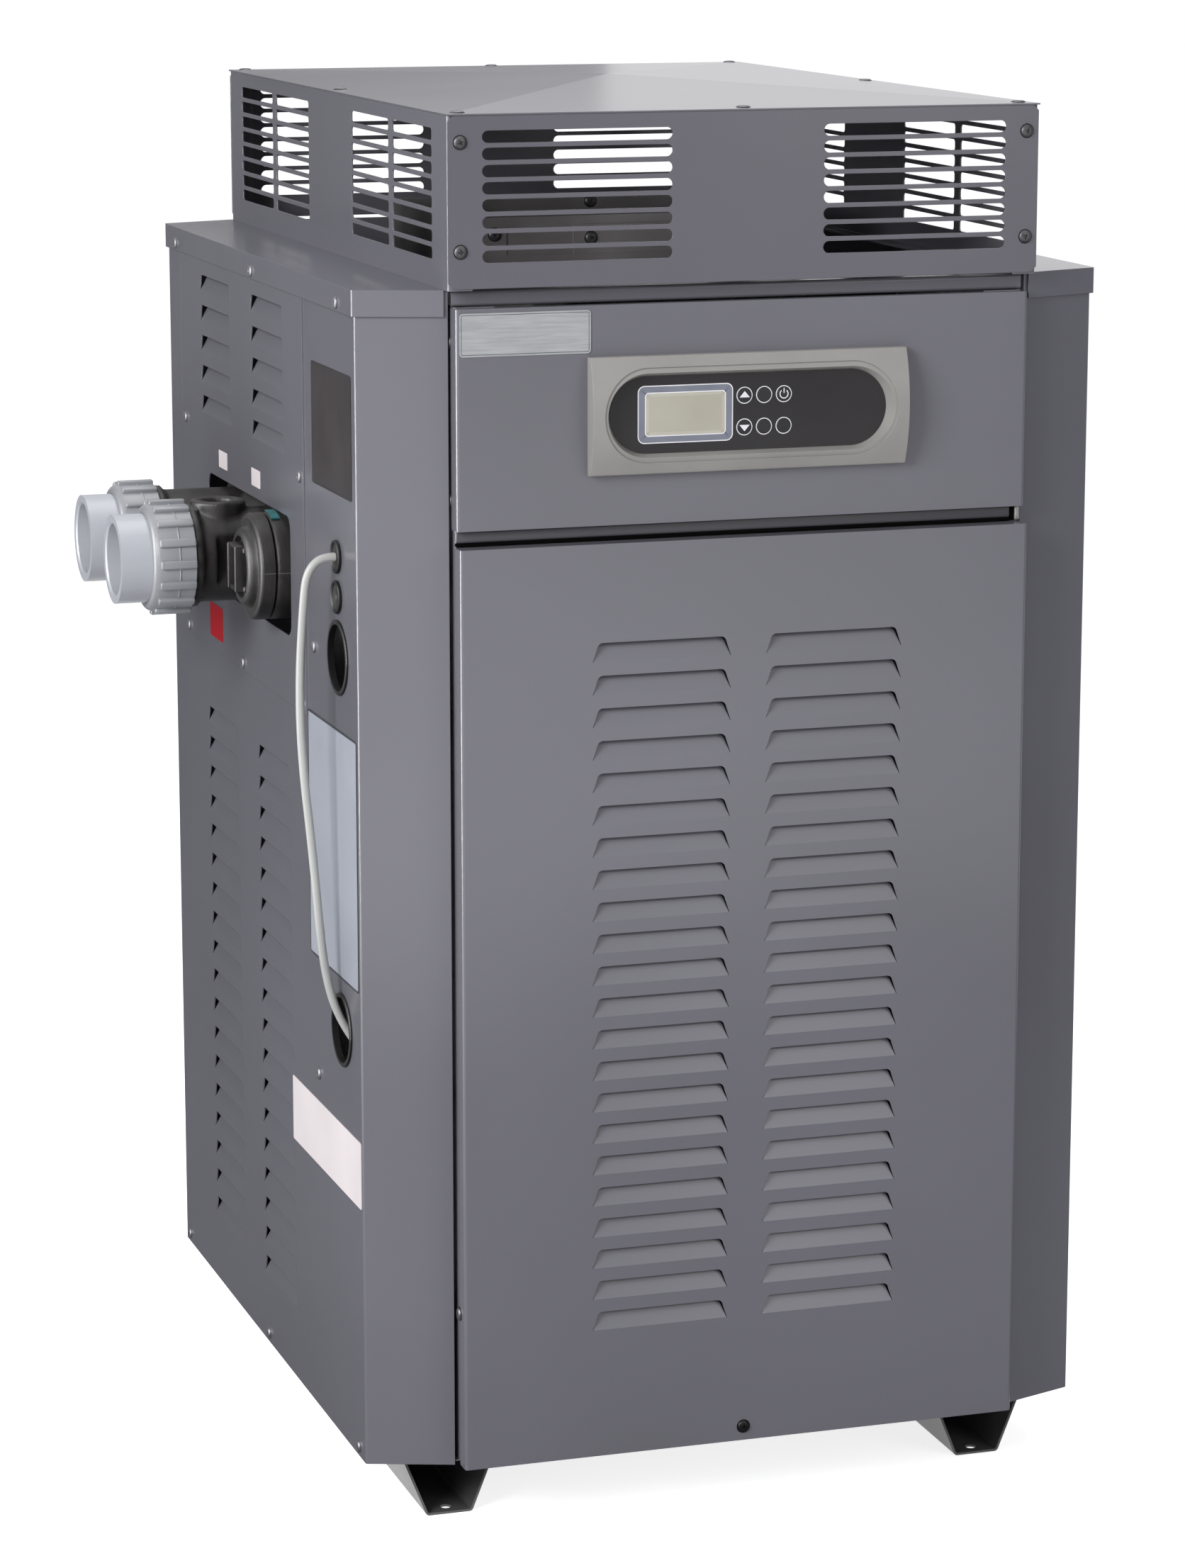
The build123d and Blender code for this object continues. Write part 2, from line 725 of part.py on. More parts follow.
def controller_bezel():
    """Moulded frame with a crowned face, a ledge round its tapered pocket and four board bosses."""
    rim = bezel_height / 2
    arc = ThreePointArc((-bezel_edge, rim), (-bezel_crown, 0), (-bezel_edge, -rim))
    section = make_face([*arc.edges(), Line((-bezel_edge, -rim), (0, -rim)), Line((0, -rim), (0, rim)),
                         Line((0, rim), (-bezel_edge, rim))])
    body = extrude(Plane.YZ * section, amount=bezel_width / 2, both=True)
    lean = math.degrees(math.atan(bezel_end_lean / bezel_crown))
    for side in (-1, 1):
        wedge = Box(20, 60, 2 * bezel_height, align=(Align.MIN, Align.CENTER, Align.CENTER))
        wedge = Pos(bezel_width / 2, 0, 0) * Rot(Z=lean) * wedge
        body -= wedge if side > 0 else mirror(wedge, about=Plane.YZ)
    body = fillet(body.edges().filter_by(Axis.X).group_by(Axis.Y)[0], 1.5)
    floor_y = overlay_back - control_front
    recess = front_plate(SlotOverall(pocket_width, pocket_height), -bezel_crown, bezel_crown)
    body -= recess - Pos(0, pocket_ledge_drop, 0) * extrude(Plane.YZ * section, amount=bezel_width / 2, both=True)
    mouth = SlotOverall(pocket_wall_width, pocket_wall_height)
    foot = SlotOverall(pocket_floor_width, pocket_floor_height)
    taper = loft([Plane.XZ.offset(-floor_y) * foot.face(), Plane.XZ.offset(bezel_crown) * mouth.face()])
    body -= taper
    back_width = bezel_width - 2 * bezel_cutout_margin - 4
    back_height = bezel_height - 2 * bezel_cutout_margin - 4
    hollow_front = floor_y + bezel_floor
    body -= block(-back_width / 2, back_width / 2, hollow_front, 1, -back_height / 2, back_height / 2)
    body -= block(window_x - window_width / 2, window_x + window_width / 2, floor_y - 1, hollow_front + 1,
                  -window_height / 2, window_height / 2)
    for x in (-back_width / 2 + 12, back_width / 2 - 12):
        for z in (-back_height / 2 + 10, back_height / 2 - 10):
            body += rod((x, hollow_front, z), (0, 1, 0), board_boss_r, board_depth - hollow_front)
    for x in key_columns:
        for z in (-key_rise, key_rise):
            body -= rod((x, floor_y - 1, z), (0, 1, 0), key_radius + key_gap, bezel_floor + 2)
    return Pos(controller_x, control_front, controller_z) * body


def controller_overlay():
    """Dark facing sheet in the pocket, open at the display and round each key."""
    outline = SlotOverall(pocket_floor_width - 2 * seat, pocket_floor_height - 2 * seat)
    outline -= Pos(window_x, 0) * Rectangle(window_width, window_height)
    for x in key_columns:
        for z in (-key_rise, key_rise):
            outline -= Pos(x, z) * Circle(key_radius + key_gap)
    plate = front_plate(outline, 0, overlay_sheet)
    return Pos(controller_x, overlay_front, controller_z) * plate


def display_window():
    """Clear window that fills the overlay's and the bezel's openings."""
    width = window_width / 2 - seat
    height = window_height / 2 - seat
    x = controller_x + window_x
    back = overlay_back + bezel_floor
    glass = block(x - width, x + width, overlay_front, back, controller_z - height, controller_z + height)
    behind = block(x - width - 4, x + width + 4, back, back + 1.5, controller_z - height - 4, controller_z + height + 4)
    return glass + behind


def key(place):
    """Round key cap that reaches back almost to its switch."""
    x, z = place
    front = overlay_front - key_proud
    cap = rod((x, front, z), (0, 1, 0), key_radius, board_front - front - key_travel - 0.1)
    return fillet(cap.edges().filter_by(GeomType.CIRCLE).group_by(Axis.Y)[0], key_proud)


def circuit_board():
    """Board on the bezel's bosses, with its driver chip and connector on the back."""
    width = bezel_width / 2 - bezel_cutout_margin - 6
    height = bezel_height / 2 - bezel_cutout_margin - 6
    back = board_front + board_sheet
    board = block(-width, width, board_front, back, controller_z - height, controller_z + height)
    board += block(-60, -36, back, back + 3, controller_z - 12, controller_z + 12)
    board += block(50, 90, back, back + 9, controller_z - 8, controller_z + 8)
    return Pos(controller_x, 0, 0) * board


def control_box_sides():
    """Low and high corners of the control box, hung under the top rail."""
    front = control_front + control_flange + control_box_setback
    x = control_box_width / 2
    return -x, x, front, front + control_box_depth, post_top - control_box_height, post_top


def control_box():
    """Sheet box, open to the front, for the transformer and the ignition module."""
    x0, x1, y0, y1, z0, z1 = control_box_sides()
    return block(x0, x1, y0, y1, z0, z1) - block(x0 + sheet, x1 - sheet, y0 - 1, y1 - sheet, z0 + sheet, z1 - sheet)


def transformer():
    """Laminated core with its winding, on the box's floor."""
    x0, x1, y0, y1, z0, z1 = control_box_sides()
    floor = z0 + sheet
    left = x0 + 30
    core = block(left, left + 60, y0 + 25, y0 + 60, floor, floor + 50)
    winding = block(left + 12, left + 48, y0 + 17, y0 + 68, floor + 10, floor + 40)
    return core + winding


def ignition_module():
    """Potted module on the box's rear wall, with a row of terminals below."""
    x0, x1, y0, y1, z0, z1 = control_box_sides()
    wall = y1 - sheet
    body = block(20, 115, wall - 38, wall, z0 + 40, z0 + 110)
    body = fillet(body.edges().filter_by(Axis.Y), 4)
    return body + block(30, 105, wall - 30, wall, z0 + 30, z0 + 40)


def tube_places():
    middle = (tube_count - 1) / 2
    return [exchanger_y + (number - middle) * tube_pitch for number in range(tube_count)]


def tube_sheets():
    """Two plates that the tubes are rolled into."""
    y0 = jacket_front + sheet + seat
    y1 = jacket_rear - sheet - seat
    plates = []
    for x in (-exchanger_half, exchanger_half - tube_sheet_thick):
        plate = block(x, x + tube_sheet_thick, y0, y1, sheet_bottom, sheet_top)
        for y in tube_places():
            plate -= rod((x - 1, y, header_z), (1, 0, 0), tube_r + tube_fit, tube_sheet_thick + 2)
        plates.append(plate)
    return plates


def finned_tubes():
    """Copper tubes; the pack of fins on each is drawn as one thick sleeve."""
    fin_half = exchanger_half - tube_sheet_thick - seat
    tubes = []
    for y in tube_places():
        core = rod((-exchanger_half, y, header_z), (1, 0, 0), tube_r, 2 * exchanger_half)
        fins = rod((-fin_half, y, header_z), (1, 0, 0), fin_r, 2 * fin_half)
        tubes.append(core + fins - rod((-exchanger_half - 1, y, header_z), (1, 0, 0), tube_r - 2, 2 * exchanger_half + 2))
    return tubes


def header_body():
    """Water box with its flange, on the left; the right one is its mirror image."""
    y0 = exchanger_y - header_length / 2
    y1 = exchanger_y + header_length / 2
    z0 = header_z - header_height / 2
    body = block(-body_face, -flange_face + 1, y0, y1, z0, header_top)
    body = fillet(body.edges().group_by(Axis.X)[0], header_round)
    edge = header_height / 2 - (sheet_top - header_z)
    flange = block(-flange_face, -exchanger_half, y0 + edge, y1 - edge, sheet_bottom, sheet_top)
    return body + flange


def header_cavity(y0, y1):
    """Space for the water behind one group of tubes."""
    z = header_height / 2 - header_wall
    return block(-body_face + header_wall, -exchanger_half, y0, y1, header_z - z, header_z + z)


def inlet_outlet_header():
    """Left header: two necks with male threads, a relief port on top and the round drum in front."""
    body = header_body()
    y0 = exchanger_y - header_length / 2 + header_wall
    y1 = exchanger_y + header_length / 2 - header_wall
    split = port_y + port_spacing / 2
    body += rod((drum_end, drum_y, header_z), (1, 0, 0), drum_r, -flange_face - drum_end)
    for y in (port_y, port_y + port_spacing):
        body += rod((neck_end, y, header_z), (1, 0, 0), neck_r, -body_face - neck_end + header_wall)
        body += rod((neck_end, y, header_z), (1, 0, 0), collar_r, collar_length)
        body += rod((thread_end, y, header_z), (1, 0, 0), thread_r, thread_length)
    body += rod((relief_x, port_y, header_z), (0, 0, 1), relief_r, relief_rise)
    body -= rod((drum_end, drum_y, header_z), (-1, 0, 0), cap_r + cap_room, cap_disc + cap_step + cap_grip)
    body -= header_cavity(y0, split - header_partition / 2)
    body -= header_cavity(split + header_partition / 2, y1)
    for y in (port_y, port_y + port_spacing):
        body -= rod((thread_end - 1, y, header_z), (1, 0, 0), neck_bore_r, -body_face - thread_end + header_wall + 2)
    body -= rod((relief_x, port_y, header_z), (0, 0, 1), relief_bore_r, relief_rise + 1)
    return body


def return_header():
    """Right header, which turns the water back from one group of tubes to the other."""
    y0 = exchanger_y - header_length / 2 + header_wall
    y1 = exchanger_y + header_length / 2 - header_wall
    return mirror(header_body() - header_cavity(y0, y1), about=Plane.YZ)


def header_cap():
    """Round cover on the drum, with a step and a grip bar across it."""
    cap = rod((drum_end, drum_y, header_z), (-1, 0, 0), cap_r, cap_disc)
    cap = fillet(cap.edges().filter_by(GeomType.CIRCLE).group_by(Axis.X)[0], cap_round)
    x = drum_end - cap_disc
    cap += rod((x, drum_y, header_z), (-1, 0, 0), cap_step_r, cap_step)
    x -= cap_step
    bar = block(x - cap_grip, x, drum_y - cap_grip_width / 2, drum_y + cap_grip_width / 2,
                header_z - cap_grip_length / 2, header_z + cap_grip_length / 2)
    bar = fillet(bar.edges().filter_by(Axis.X), cap_grip_width / 3)
    return cap + bar


def header_bolts():
    """Hexagon heads on both header flanges, above and below the water boxes."""
    bolts = []
    middle = (header_z + header_height / 2 + sheet_top) / 2
    for sign in (-1, 1):
        plane = Plane(origin=(sign * flange_face, 0, 0), z_dir=(sign, 0, 0), x_dir=(0, 1, 0))
        for y in [exchanger_y + number * bolt_pitch for number in (-1.5, -0.5, 0.5, 1.5)]:
            for z in (middle, 2 * header_z - middle):
                head = extrude(plane * RegularPolygon(bolt_head_r, 6), amount=bolt_head)
                bolts.append(Pos(0, y, z) * head)
    return bolts


def limit_switches():
    """Two snap-disc thermostats on top of the left header."""
    x = -(body_face + flange_face) / 2
    switches = []
    for y in (port_y + port_spacing / 4, port_y + port_spacing):
        base = rod((x, y, header_top), (0, 0, 1), 12, 3)
        switches.append(base + rod((x, y, header_top + 3), (0, 0, 1), 9, 10))
    return switches


def union_axes():
    return [port_y, port_y + port_spacing]


def union_tailpieces():
    """Thin spigots with a collar that the nut pulls against the seal."""
    tails = []
    for y in union_axes():
        tail = rod((tail_end, y, header_z), (1, 0, 0), tail_r, tail_length)
        tail += rod((seal_end - tail_flange, y, header_z), (1, 0, 0), tail_flange_r, tail_flange)
        tail -= rod((tail_end, y, header_z), (1, 0, 0), tail_socket_r, tail_length - tail_socket_stop)
        tail -= rod((tail_end, y, header_z), (1, 0, 0), neck_bore_r, tail_length + 1)
        mouth = tail.edges().filter_by(GeomType.CIRCLE).group_by(Axis.X)[0].sort_by(SortBy.RADIUS)[0]
        tail = chamfer(mouth, tail_mouth)
        tails.append(tail)
    return tails


def union_seals():
    outer = tail_flange_r - 1.5
    return [tube((seal_end, y, header_z), (1, 0, 0), outer, outer - seal_wall, seal_thick) for y in union_axes()]


def union_nut(y):
    """Ribbed nut that turns on the spigot behind its collar."""
    lip_face = seal_end - tail_flange - seat
    start = lip_face - nut_lip
    length = neck_end - seat - start
    nut = rod((start, y, header_z), (1, 0, 0), nut_r, length)
    nut = fillet(nut.edges().filter_by(GeomType.CIRCLE).group_by(Axis.X)[0], nut_round)
    angle = 360 / rib_count
    reach = nut_r + rib_height
    rib = block(start + 5, start + length, -rib_width / 2, rib_width / 2, nut_r - 2, reach)
    rib = fillet(rib.edges().filter_by(Axis.X).group_by(Axis.Z)[-1], rib_height * 0.45)
    nut += [Pos(0, y, header_z) * Rot(X=angle * number) * rib for number in range(rib_count)]
    nut -= rod((lip_face, y, header_z), (1, 0, 0), thread_r + nut_thread_gap, length)
    return nut - rod((start - 1, y, header_z), (1, 0, 0), tail_r + nut_running, length)


def firebox_jacket():
    """Sheet shaft from the base pan to the heat exchanger, open at the front for the burner tray."""
    walls = block(-jacket_half, jacket_half, jacket_front, jacket_rear, pan_top, sheet_top)
    inner = jacket_half - sheet
    walls -= block(-inner, inner, jacket_front + sheet, jacket_rear - sheet, pan_top - 1, sheet_top + 1)
    walls -= block(-jacket_half - 1, jacket_half + 1, jacket_front + sheet, jacket_rear - sheet, sheet_bottom, sheet_top + 1)
    low = tray_z - 15
    return walls - block(-tray_hole_half, tray_hole_half, jacket_front - 1, jacket_front + 2 * sheet,
                         low, low + tray_hole_height)


def refractory_boards():
    """Four insulating boards that line the shaft above the burners."""
    low = tray_z + tray_hole_height
    x = jacket_half - sheet
    y0 = jacket_front + sheet
    y1 = jacket_rear - sheet
    boards = [block(-x, x, y0, y0 + board_thick, low, sheet_bottom)]
    boards.append(block(-x, x, y1 - board_thick, y1, low, sheet_bottom))
    for side in (-x, x - board_thick):
        boards.append(block(side, side + board_thick, y0 + board_thick, y1 - board_thick, low, sheet_bottom))
    return boards


def burner_places():
    middle = (burner_count - 1) / 2
    return [(number - middle) * burner_pitch for number in range(burner_count)]


def burner_tray():
    """Tray pushed in from the front, closed by its own holed front plate."""
    y1 = jacket_rear - sheet - 6
    tray = block(-tray_half, tray_half, jacket_front - sheet, y1, tray_z, tray_z + sheet)
    for x in (-tray_half, tray_half - sheet):
        tray += block(x, x + sheet, jacket_front - sheet, y1, tray_z, tray_z + tray_wall)
    low = tray_z - 30
    tray += block(-tray_front_half, tray_front_half, jacket_front - sheet, jacket_front, low, low + tray_front_height)
    for x in burner_places():
        tray -= rod((x, jacket_front - 2 * sheet, burner_z), (0, 1, 0), 2 * spud_r, 3 * sheet)
    return tray


def burners():
    """Tube burners with a flame ribbon along the top."""
    y0 = jacket_front + 13
    length = jacket_rear - sheet - 12 - y0
    shapes = []
    for x in burner_places():
        body = rod((x, y0, burner_z), (0, 1, 0), burner_r, length)
        body += block(x - burner_ribbon / 2, x + burner_ribbon / 2, y0 + 30, y0 + length, burner_z, burner_z + burner_r + 12)
        body -= rod((x, y0 - 1, burner_z), (0, 1, 0), burner_r - 4, 40)
        shapes.append(body)
    return shapes


def gas_manifold():
    """Gas pipe across the tray's front, with a spud for each burner and two brackets."""
    y = jacket_front - sheet - manifold_lead
    pipe = rod((-manifold_half, y, burner_z), (1, 0, 0), manifold_r, 2 * manifold_half)
    for x in burner_places():
        pipe += rod((x, y, burner_z), (0, 1, 0), spud_r, manifold_lead + 10)
    for x in (-bracket_x, bracket_x):
        side = bracket_width / 2
        pipe += block(x - side, x + side, y, jacket_front - sheet, burner_z - 9, burner_z + 9)
    return pipe + rod((0, valve_rear, burner_z), (0, 1, 0), manifold_r - 2, y - valve_rear)


def gas_valve():
    """Valve block with its regulator tower, and the bore for the knob's stem."""
    x = valve_width / 2
    body = block(-x, x, valve_front, valve_rear, valve_bottom, valve_bottom + valve_height)
    body = chamfer(body.edges().filter_by(Axis.Z), 8)
    body += rod((0, (valve_front + valve_rear) / 2, valve_bottom + valve_height), (0, 0, 1), 15, 22)
    return body - rod((0, valve_front - 1, burner_z), (0, 1, 0), knob_stem_r + knob_running, 14)


def gas_valve_knob():
    """Knob with a pointer bar across its face, on a stem in the valve."""
    knob = rod((0, valve_front - seat - knob_length, burner_z), (0, 1, 0), knob_r, knob_length)
    knob = fillet(knob.edges().group_by(Axis.Y)[0], 1.5)
    front = valve_front - seat - knob_length
    knob += block(-3, 3, front - 5, front + 3, burner_z - knob_r + 2, burner_z + knob_r - 2)
    return knob + rod((0, valve_front - seat, burner_z), (0, 1, 0), knob_stem_r, 10)


def gas_inlet_pipe():
    """Threaded stub from the valve's left side, with its union nut."""
    y = (valve_front + valve_rear) / 2
    start = -valve_width / 2
    pipe = rod((start, y, burner_z), (-1, 0, 0), manifold_r, stub_length)
    plane = Plane(origin=(start - stub_length * 0.6, y, burner_z), z_dir=(-1, 0, 0))
    pipe += extrude(plane * RegularPolygon(manifold_r + 6, 6), amount=24)
    return pipe - rod((start + 1, y, burner_z), (-1, 0, 0), manifold_r - 3, stub_length + 2)


def pilot_assembly():
    """Bracket on the tray's front plate, beside the manifold's bracket, with the pilot tube and the spark rod."""
    x = pilot_x
    half_width = pilot_width / 2
    face = jacket_front - sheet
    pilot = block(x - half_width, x + half_width, face - 14, face, burner_z + 22, burner_z + 40)
    pilot += rod((x - pilot_rod_side, face - 7, burner_z - 60), (0, 0, 1), pilot_rod_r, 90)
    return pilot + rod((x + 6, face - 40, burner_z + 31), (0, 1, 0), 4, 34)


def flue_box():
    """Collector over the tubes that narrows to the collar inside the hood."""
    wide = Rectangle(2 * jacket_half, jacket_depth)
    narrow = Rectangle(2 * flue_neck_half, flue_neck_depth)
    wide_in = Rectangle(2 * (jacket_half - sheet), jacket_depth - 2 * sheet)
    narrow_in = Rectangle(2 * (flue_neck_half - sheet), flue_neck_depth - 2 * sheet)
    lift = Pos(0, 0, flue_shoulder)
    outer = loft([wide.face(), (lift * narrow).face()], ruled=True) + lift * extrude(narrow, amount=flue_collar)
    inner = loft([wide_in.face(), (lift * narrow_in).face()], ruled=True) + lift * extrude(narrow_in, amount=flue_collar)
    return Pos(0, exchanger_y, sheet_top) * (outer - inner)


def grommet(z, radius, bore, hub):
    """Rubber spool seated in its hole: flange outside, hub through the sheet, flange inside."""
    start = (-half - grommet_flange, grommet_y, z)
    inner_flange = (-half + sheet, grommet_y, z)
    body = rod(start, (1, 0, 0), radius, grommet_flange)
    body = fillet(body.edges().group_by(Axis.X)[0], grommet_flange * 0.45)
    body += rod(start, (1, 0, 0), hub, 2 * grommet_flange + sheet)
    body += rod(inner_flange, (1, 0, 0), radius - 1, grommet_flange)
    if bore > 0:
        body -= rod((start[0] - 1, grommet_y, z), (1, 0, 0), bore, 3 * grommet_flange + sheet)
    return body


def small_grommets():
    """Upper one closed round the cable, lower one blank."""
    hub = small_grommet_r - grommet_flange - seat
    return [grommet(z, small_grommet_r, 0, hub) for z in (cable_grommet_z, blank_grommet_z)]


def entry_grommets():
    """Two open grommets for the gas pipe and the conduit."""
    return [grommet(z, entry_grommet_r, entry_bore_r, entry_bore_r + entry_wall) for z in (upper_entry_z, lower_entry_z)]


def cable_points():
    """Cable route: out of its grommet, down beside the panel, in at the lower entry and over to the gas valve."""
    face = -half - grommet_flange
    z = cable_grommet_z
    side = -valve_width / 2
    end_y = (valve_front + valve_rear) / 2 - 31
    end_z = burner_z + 18
    return [(face, grommet_y, z),
            (face - 10, grommet_y, z),
            (face - 19, grommet_y - 0.2, z - 6),
            (face - 24.3, grommet_y - 0.4, z - 16.5),
            (face - 26.2, grommet_y - 0.5, z - 32),
            (face - 28.2, grommet_y - 0.6, z - 57),
            (face - 30.4, grommet_y - 0.8, z - 91),
            (face - 30.8, grommet_y - 1.1, z - 133),
            (face - 28.3, grommet_y - 1.3, z - 177),
            (face - 23.8, grommet_y - 1.5, z - 221),
            (face - 20, grommet_y - 1.8, z - 263),
            (face - 17, grommet_y - 2, z - 302),
            (face - 13, grommet_y - 2.1, z - 338),
            (face - 5.5, grommet_y - 2.2, z - 369.5),
            (face + 11, grommet_y - 2.5, z - 400),
            (side - 230, grommet_y - 3, end_z + 130),
            (side - 190, grommet_y - 4, end_z + 86),
            (side - 150, grommet_y - 5, end_z + 53),
            (side - 110, grommet_y - 6.5, end_z + 28),
            (side - 70, end_y + 0.3, end_z + 11),
            (side - 32, end_y, end_z),
            (side, end_y, end_z)]


def valve_cable():
    """Round cable on straight runs joined by the largest arcs that they allow."""
    points = [Vector(*point) for point in cable_points()]
    radii = []
    for before, corner, after in zip(points, points[1:], points[2:]):
        shorter = min((corner - before).length, (after - corner).length)
        turn = math.radians((corner - before).get_angle(after - corner))
        radii.append(0.45 * shorter / math.tan(turn / 2))
    path = FilletPolyline(*points, radius=radii)
    start = Plane(origin=points[0], z_dir=(points[1] - points[0]))
    cable = sweep(start * Circle(cable_r), path=path)
    print("cable length", round(path.length, 1), "tightest arc", round(min(radii), 1))
    print("cable volume by section", round(path.length * math.pi * cable_r ** 2), "solid", round(cable.volume))
    return cable


keys = dict(zip(("key_up", "key_mode", "key_power", "key_down", "key_program", "key_aux"), key_places()))

nodes = {
    "left_foot_rail": foot_rail(-1),
    "right_foot_rail": foot_rail(1),
    "base_pan": base_pan(),
    "left_side_panel": left_side_panel(),
    "header_access_panel": header_access_panel(),
    "right_side_panel": right_side_panel(),
    "rear_panel": rear_panel(),
    "left_post": front_post(-1),
    "right_post": front_post(1),
    "mid_rail": mid_rail(),
    "front_top_rail": front_top_rail(),
    "left_lid": lid(-1),
    "right_lid": lid(1),
    "hood_front": hood_front(),
    "hood_rear": hood_rear(),
    "hood_left": hood_side(-1),
    "hood_right": hood_side(1),
    "hood_top": hood_top(),
    "hood_screws": hood_screws(),
    "case_screws": case_screws(),
    "flue_box": flue_box(),
    "firebox_jacket": firebox_jacket(),
    "refractory_boards": refractory_boards(),
    "burner_tray": burner_tray(),
    "burners": burners(),
    "gas_manifold": gas_manifold(),
    "gas_valve": gas_valve(),
    "gas_valve_knob": gas_valve_knob(),
    "gas_inlet_pipe": gas_inlet_pipe(),
    "pilot_assembly": pilot_assembly(),
    "tube_sheets": tube_sheets(),
    "finned_tubes": finned_tubes(),
    "return_header": return_header(),
    "inlet_outlet_header": inlet_outlet_header(),
    "header_cap": header_cap(),
    "header_bolts": header_bolts(),
    "limit_switches": limit_switches(),
    "inlet_union_nut": union_nut(port_y + port_spacing),
    "outlet_union_nut": union_nut(port_y),
    "union_tailpieces": union_tailpieces(),
    "union_seals": union_seals(),
    "door": door(),
    "door_screw": door_screw(),
    "control_panel": control_panel(),
    "controller_bezel": controller_bezel(),
    "controller_overlay": controller_overlay(),
    "display_window": display_window(),
    "circuit_board": circuit_board(),
    "control_box": control_box(),
    "transformer": transformer(),
    "ignition_module": ignition_module(),
    "small_grommets": small_grommets(),
    "entry_grommets": entry_grommets(),
    "valve_cable": valve_cable(),
}
for name, place in keys.items():
    nodes[name] = key(place)

os.makedirs("parts", exist_ok=True)
for name, shape in nodes.items():
    if isinstance(shape, list):
        shape = Compound(children=[solid for piece in shape for solid in piece.solids()])
    export_step(shape, f"parts/{name}.step")
print(len(nodes), "nodes written")
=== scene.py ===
from math import cos, pi, radians, sin

import bmesh
import bpy
from mathutils import Matrix, Vector


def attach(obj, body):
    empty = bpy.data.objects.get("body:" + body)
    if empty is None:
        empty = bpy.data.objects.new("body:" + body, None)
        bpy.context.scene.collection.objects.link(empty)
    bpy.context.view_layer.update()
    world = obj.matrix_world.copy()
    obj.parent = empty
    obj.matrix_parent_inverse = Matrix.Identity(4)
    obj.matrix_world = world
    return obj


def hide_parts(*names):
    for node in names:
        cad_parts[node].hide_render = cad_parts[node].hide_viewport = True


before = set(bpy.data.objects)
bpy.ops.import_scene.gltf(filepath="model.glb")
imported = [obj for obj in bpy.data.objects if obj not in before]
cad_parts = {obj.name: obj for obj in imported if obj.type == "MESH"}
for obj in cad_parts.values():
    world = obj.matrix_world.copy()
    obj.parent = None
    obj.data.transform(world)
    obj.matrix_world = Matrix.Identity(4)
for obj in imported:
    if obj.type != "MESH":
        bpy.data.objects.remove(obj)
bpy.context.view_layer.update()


# Camera on a stand in front of the heater and to its left, a little above the hood,
# with a long lens that keeps the cabinet's upright edges nearly parallel.
lens = bpy.data.cameras.new("camera")
lens.sensor_width = 36
lens.lens = 105.1
camera = bpy.data.objects.new("camera", lens)
camera.location = (-1.2237, -3.7665, 1.3618)
camera.rotation_euler = (radians(78.296), 0, radians(-17.845))
bpy.context.scene.collection.objects.link(camera)
bpy.context.scene.camera = camera
bpy.context.scene.view_settings.view_transform = "Standard"


# Studio floor and room: a wide pale sheet that keeps the heater's shadow, in an even pale
# room. The camera and the shiny faces see both as plain white.
def screen_colour(red, green, blue):
    """Colour as it shows on a screen, from 0 to 255, made linear for a shader."""
    return tuple(((part / 255 + 0.055) / 1.055) ** 2.4 for part in (red, green, blue))


def new_piece(name, bm, *materials):
    """Object at the origin made from a finished bmesh, with its finishes."""
    mesh = bpy.data.meshes.new(name)
    bm.to_mesh(mesh)
    bm.free()
    for material in materials:
        mesh.materials.append(material)
    piece = bpy.data.objects.new(name, mesh)
    bpy.context.scene.collection.objects.link(piece)
    return piece


def seen_plainly(tree):
    """One where a ray comes from the camera, a shiny face or glass, and nought elsewhere."""
    path = tree.nodes.new("ShaderNodeLightPath")
    shiny = tree.nodes.new("ShaderNodeMath")
    shiny.operation = "MAXIMUM"
    tree.links.new(path.outputs["Is Glossy Ray"], shiny.inputs[0])
    tree.links.new(path.outputs["Is Transmission Ray"], shiny.inputs[1])
    either = tree.nodes.new("ShaderNodeMath")
    either.operation = "MAXIMUM"
    tree.links.new(path.outputs["Is Camera Ray"], either.inputs[0])
    tree.links.new(shiny.outputs["Value"], either.inputs[1])
    return either.outputs["Value"]


floor_white = bpy.data.materials.new("floor_white")
floor_white.use_nodes = True
tree = floor_white.node_tree
tree.nodes.remove(tree.nodes["Principled BSDF"])
sheet_face = tree.nodes.new("ShaderNodeBsdfDiffuse")
sheet_face.inputs["Color"].default_value = (0.80, 0.80, 0.80, 1)
lift = tree.nodes.new("ShaderNodeEmission")
strength = tree.nodes.new("ShaderNodeMath")
strength.operation = "MULTIPLY"
strength.inputs[1].default_value = 0.80
tree.links.new(seen_plainly(tree), strength.inputs[0])
tree.links.new(strength.outputs["Value"], lift.inputs["Strength"])
both = tree.nodes.new("ShaderNodeAddShader")
tree.links.new(sheet_face.outputs["BSDF"], both.inputs[0])
tree.links.new(lift.outputs["Emission"], both.inputs[1])
tree.links.new(both.outputs["Shader"], tree.nodes["Material Output"].inputs["Surface"])
bm = bmesh.new()
bmesh.ops.create_grid(bm, x_segments=1, y_segments=1, size=40)
floor = new_piece("floor", bm, floor_white)

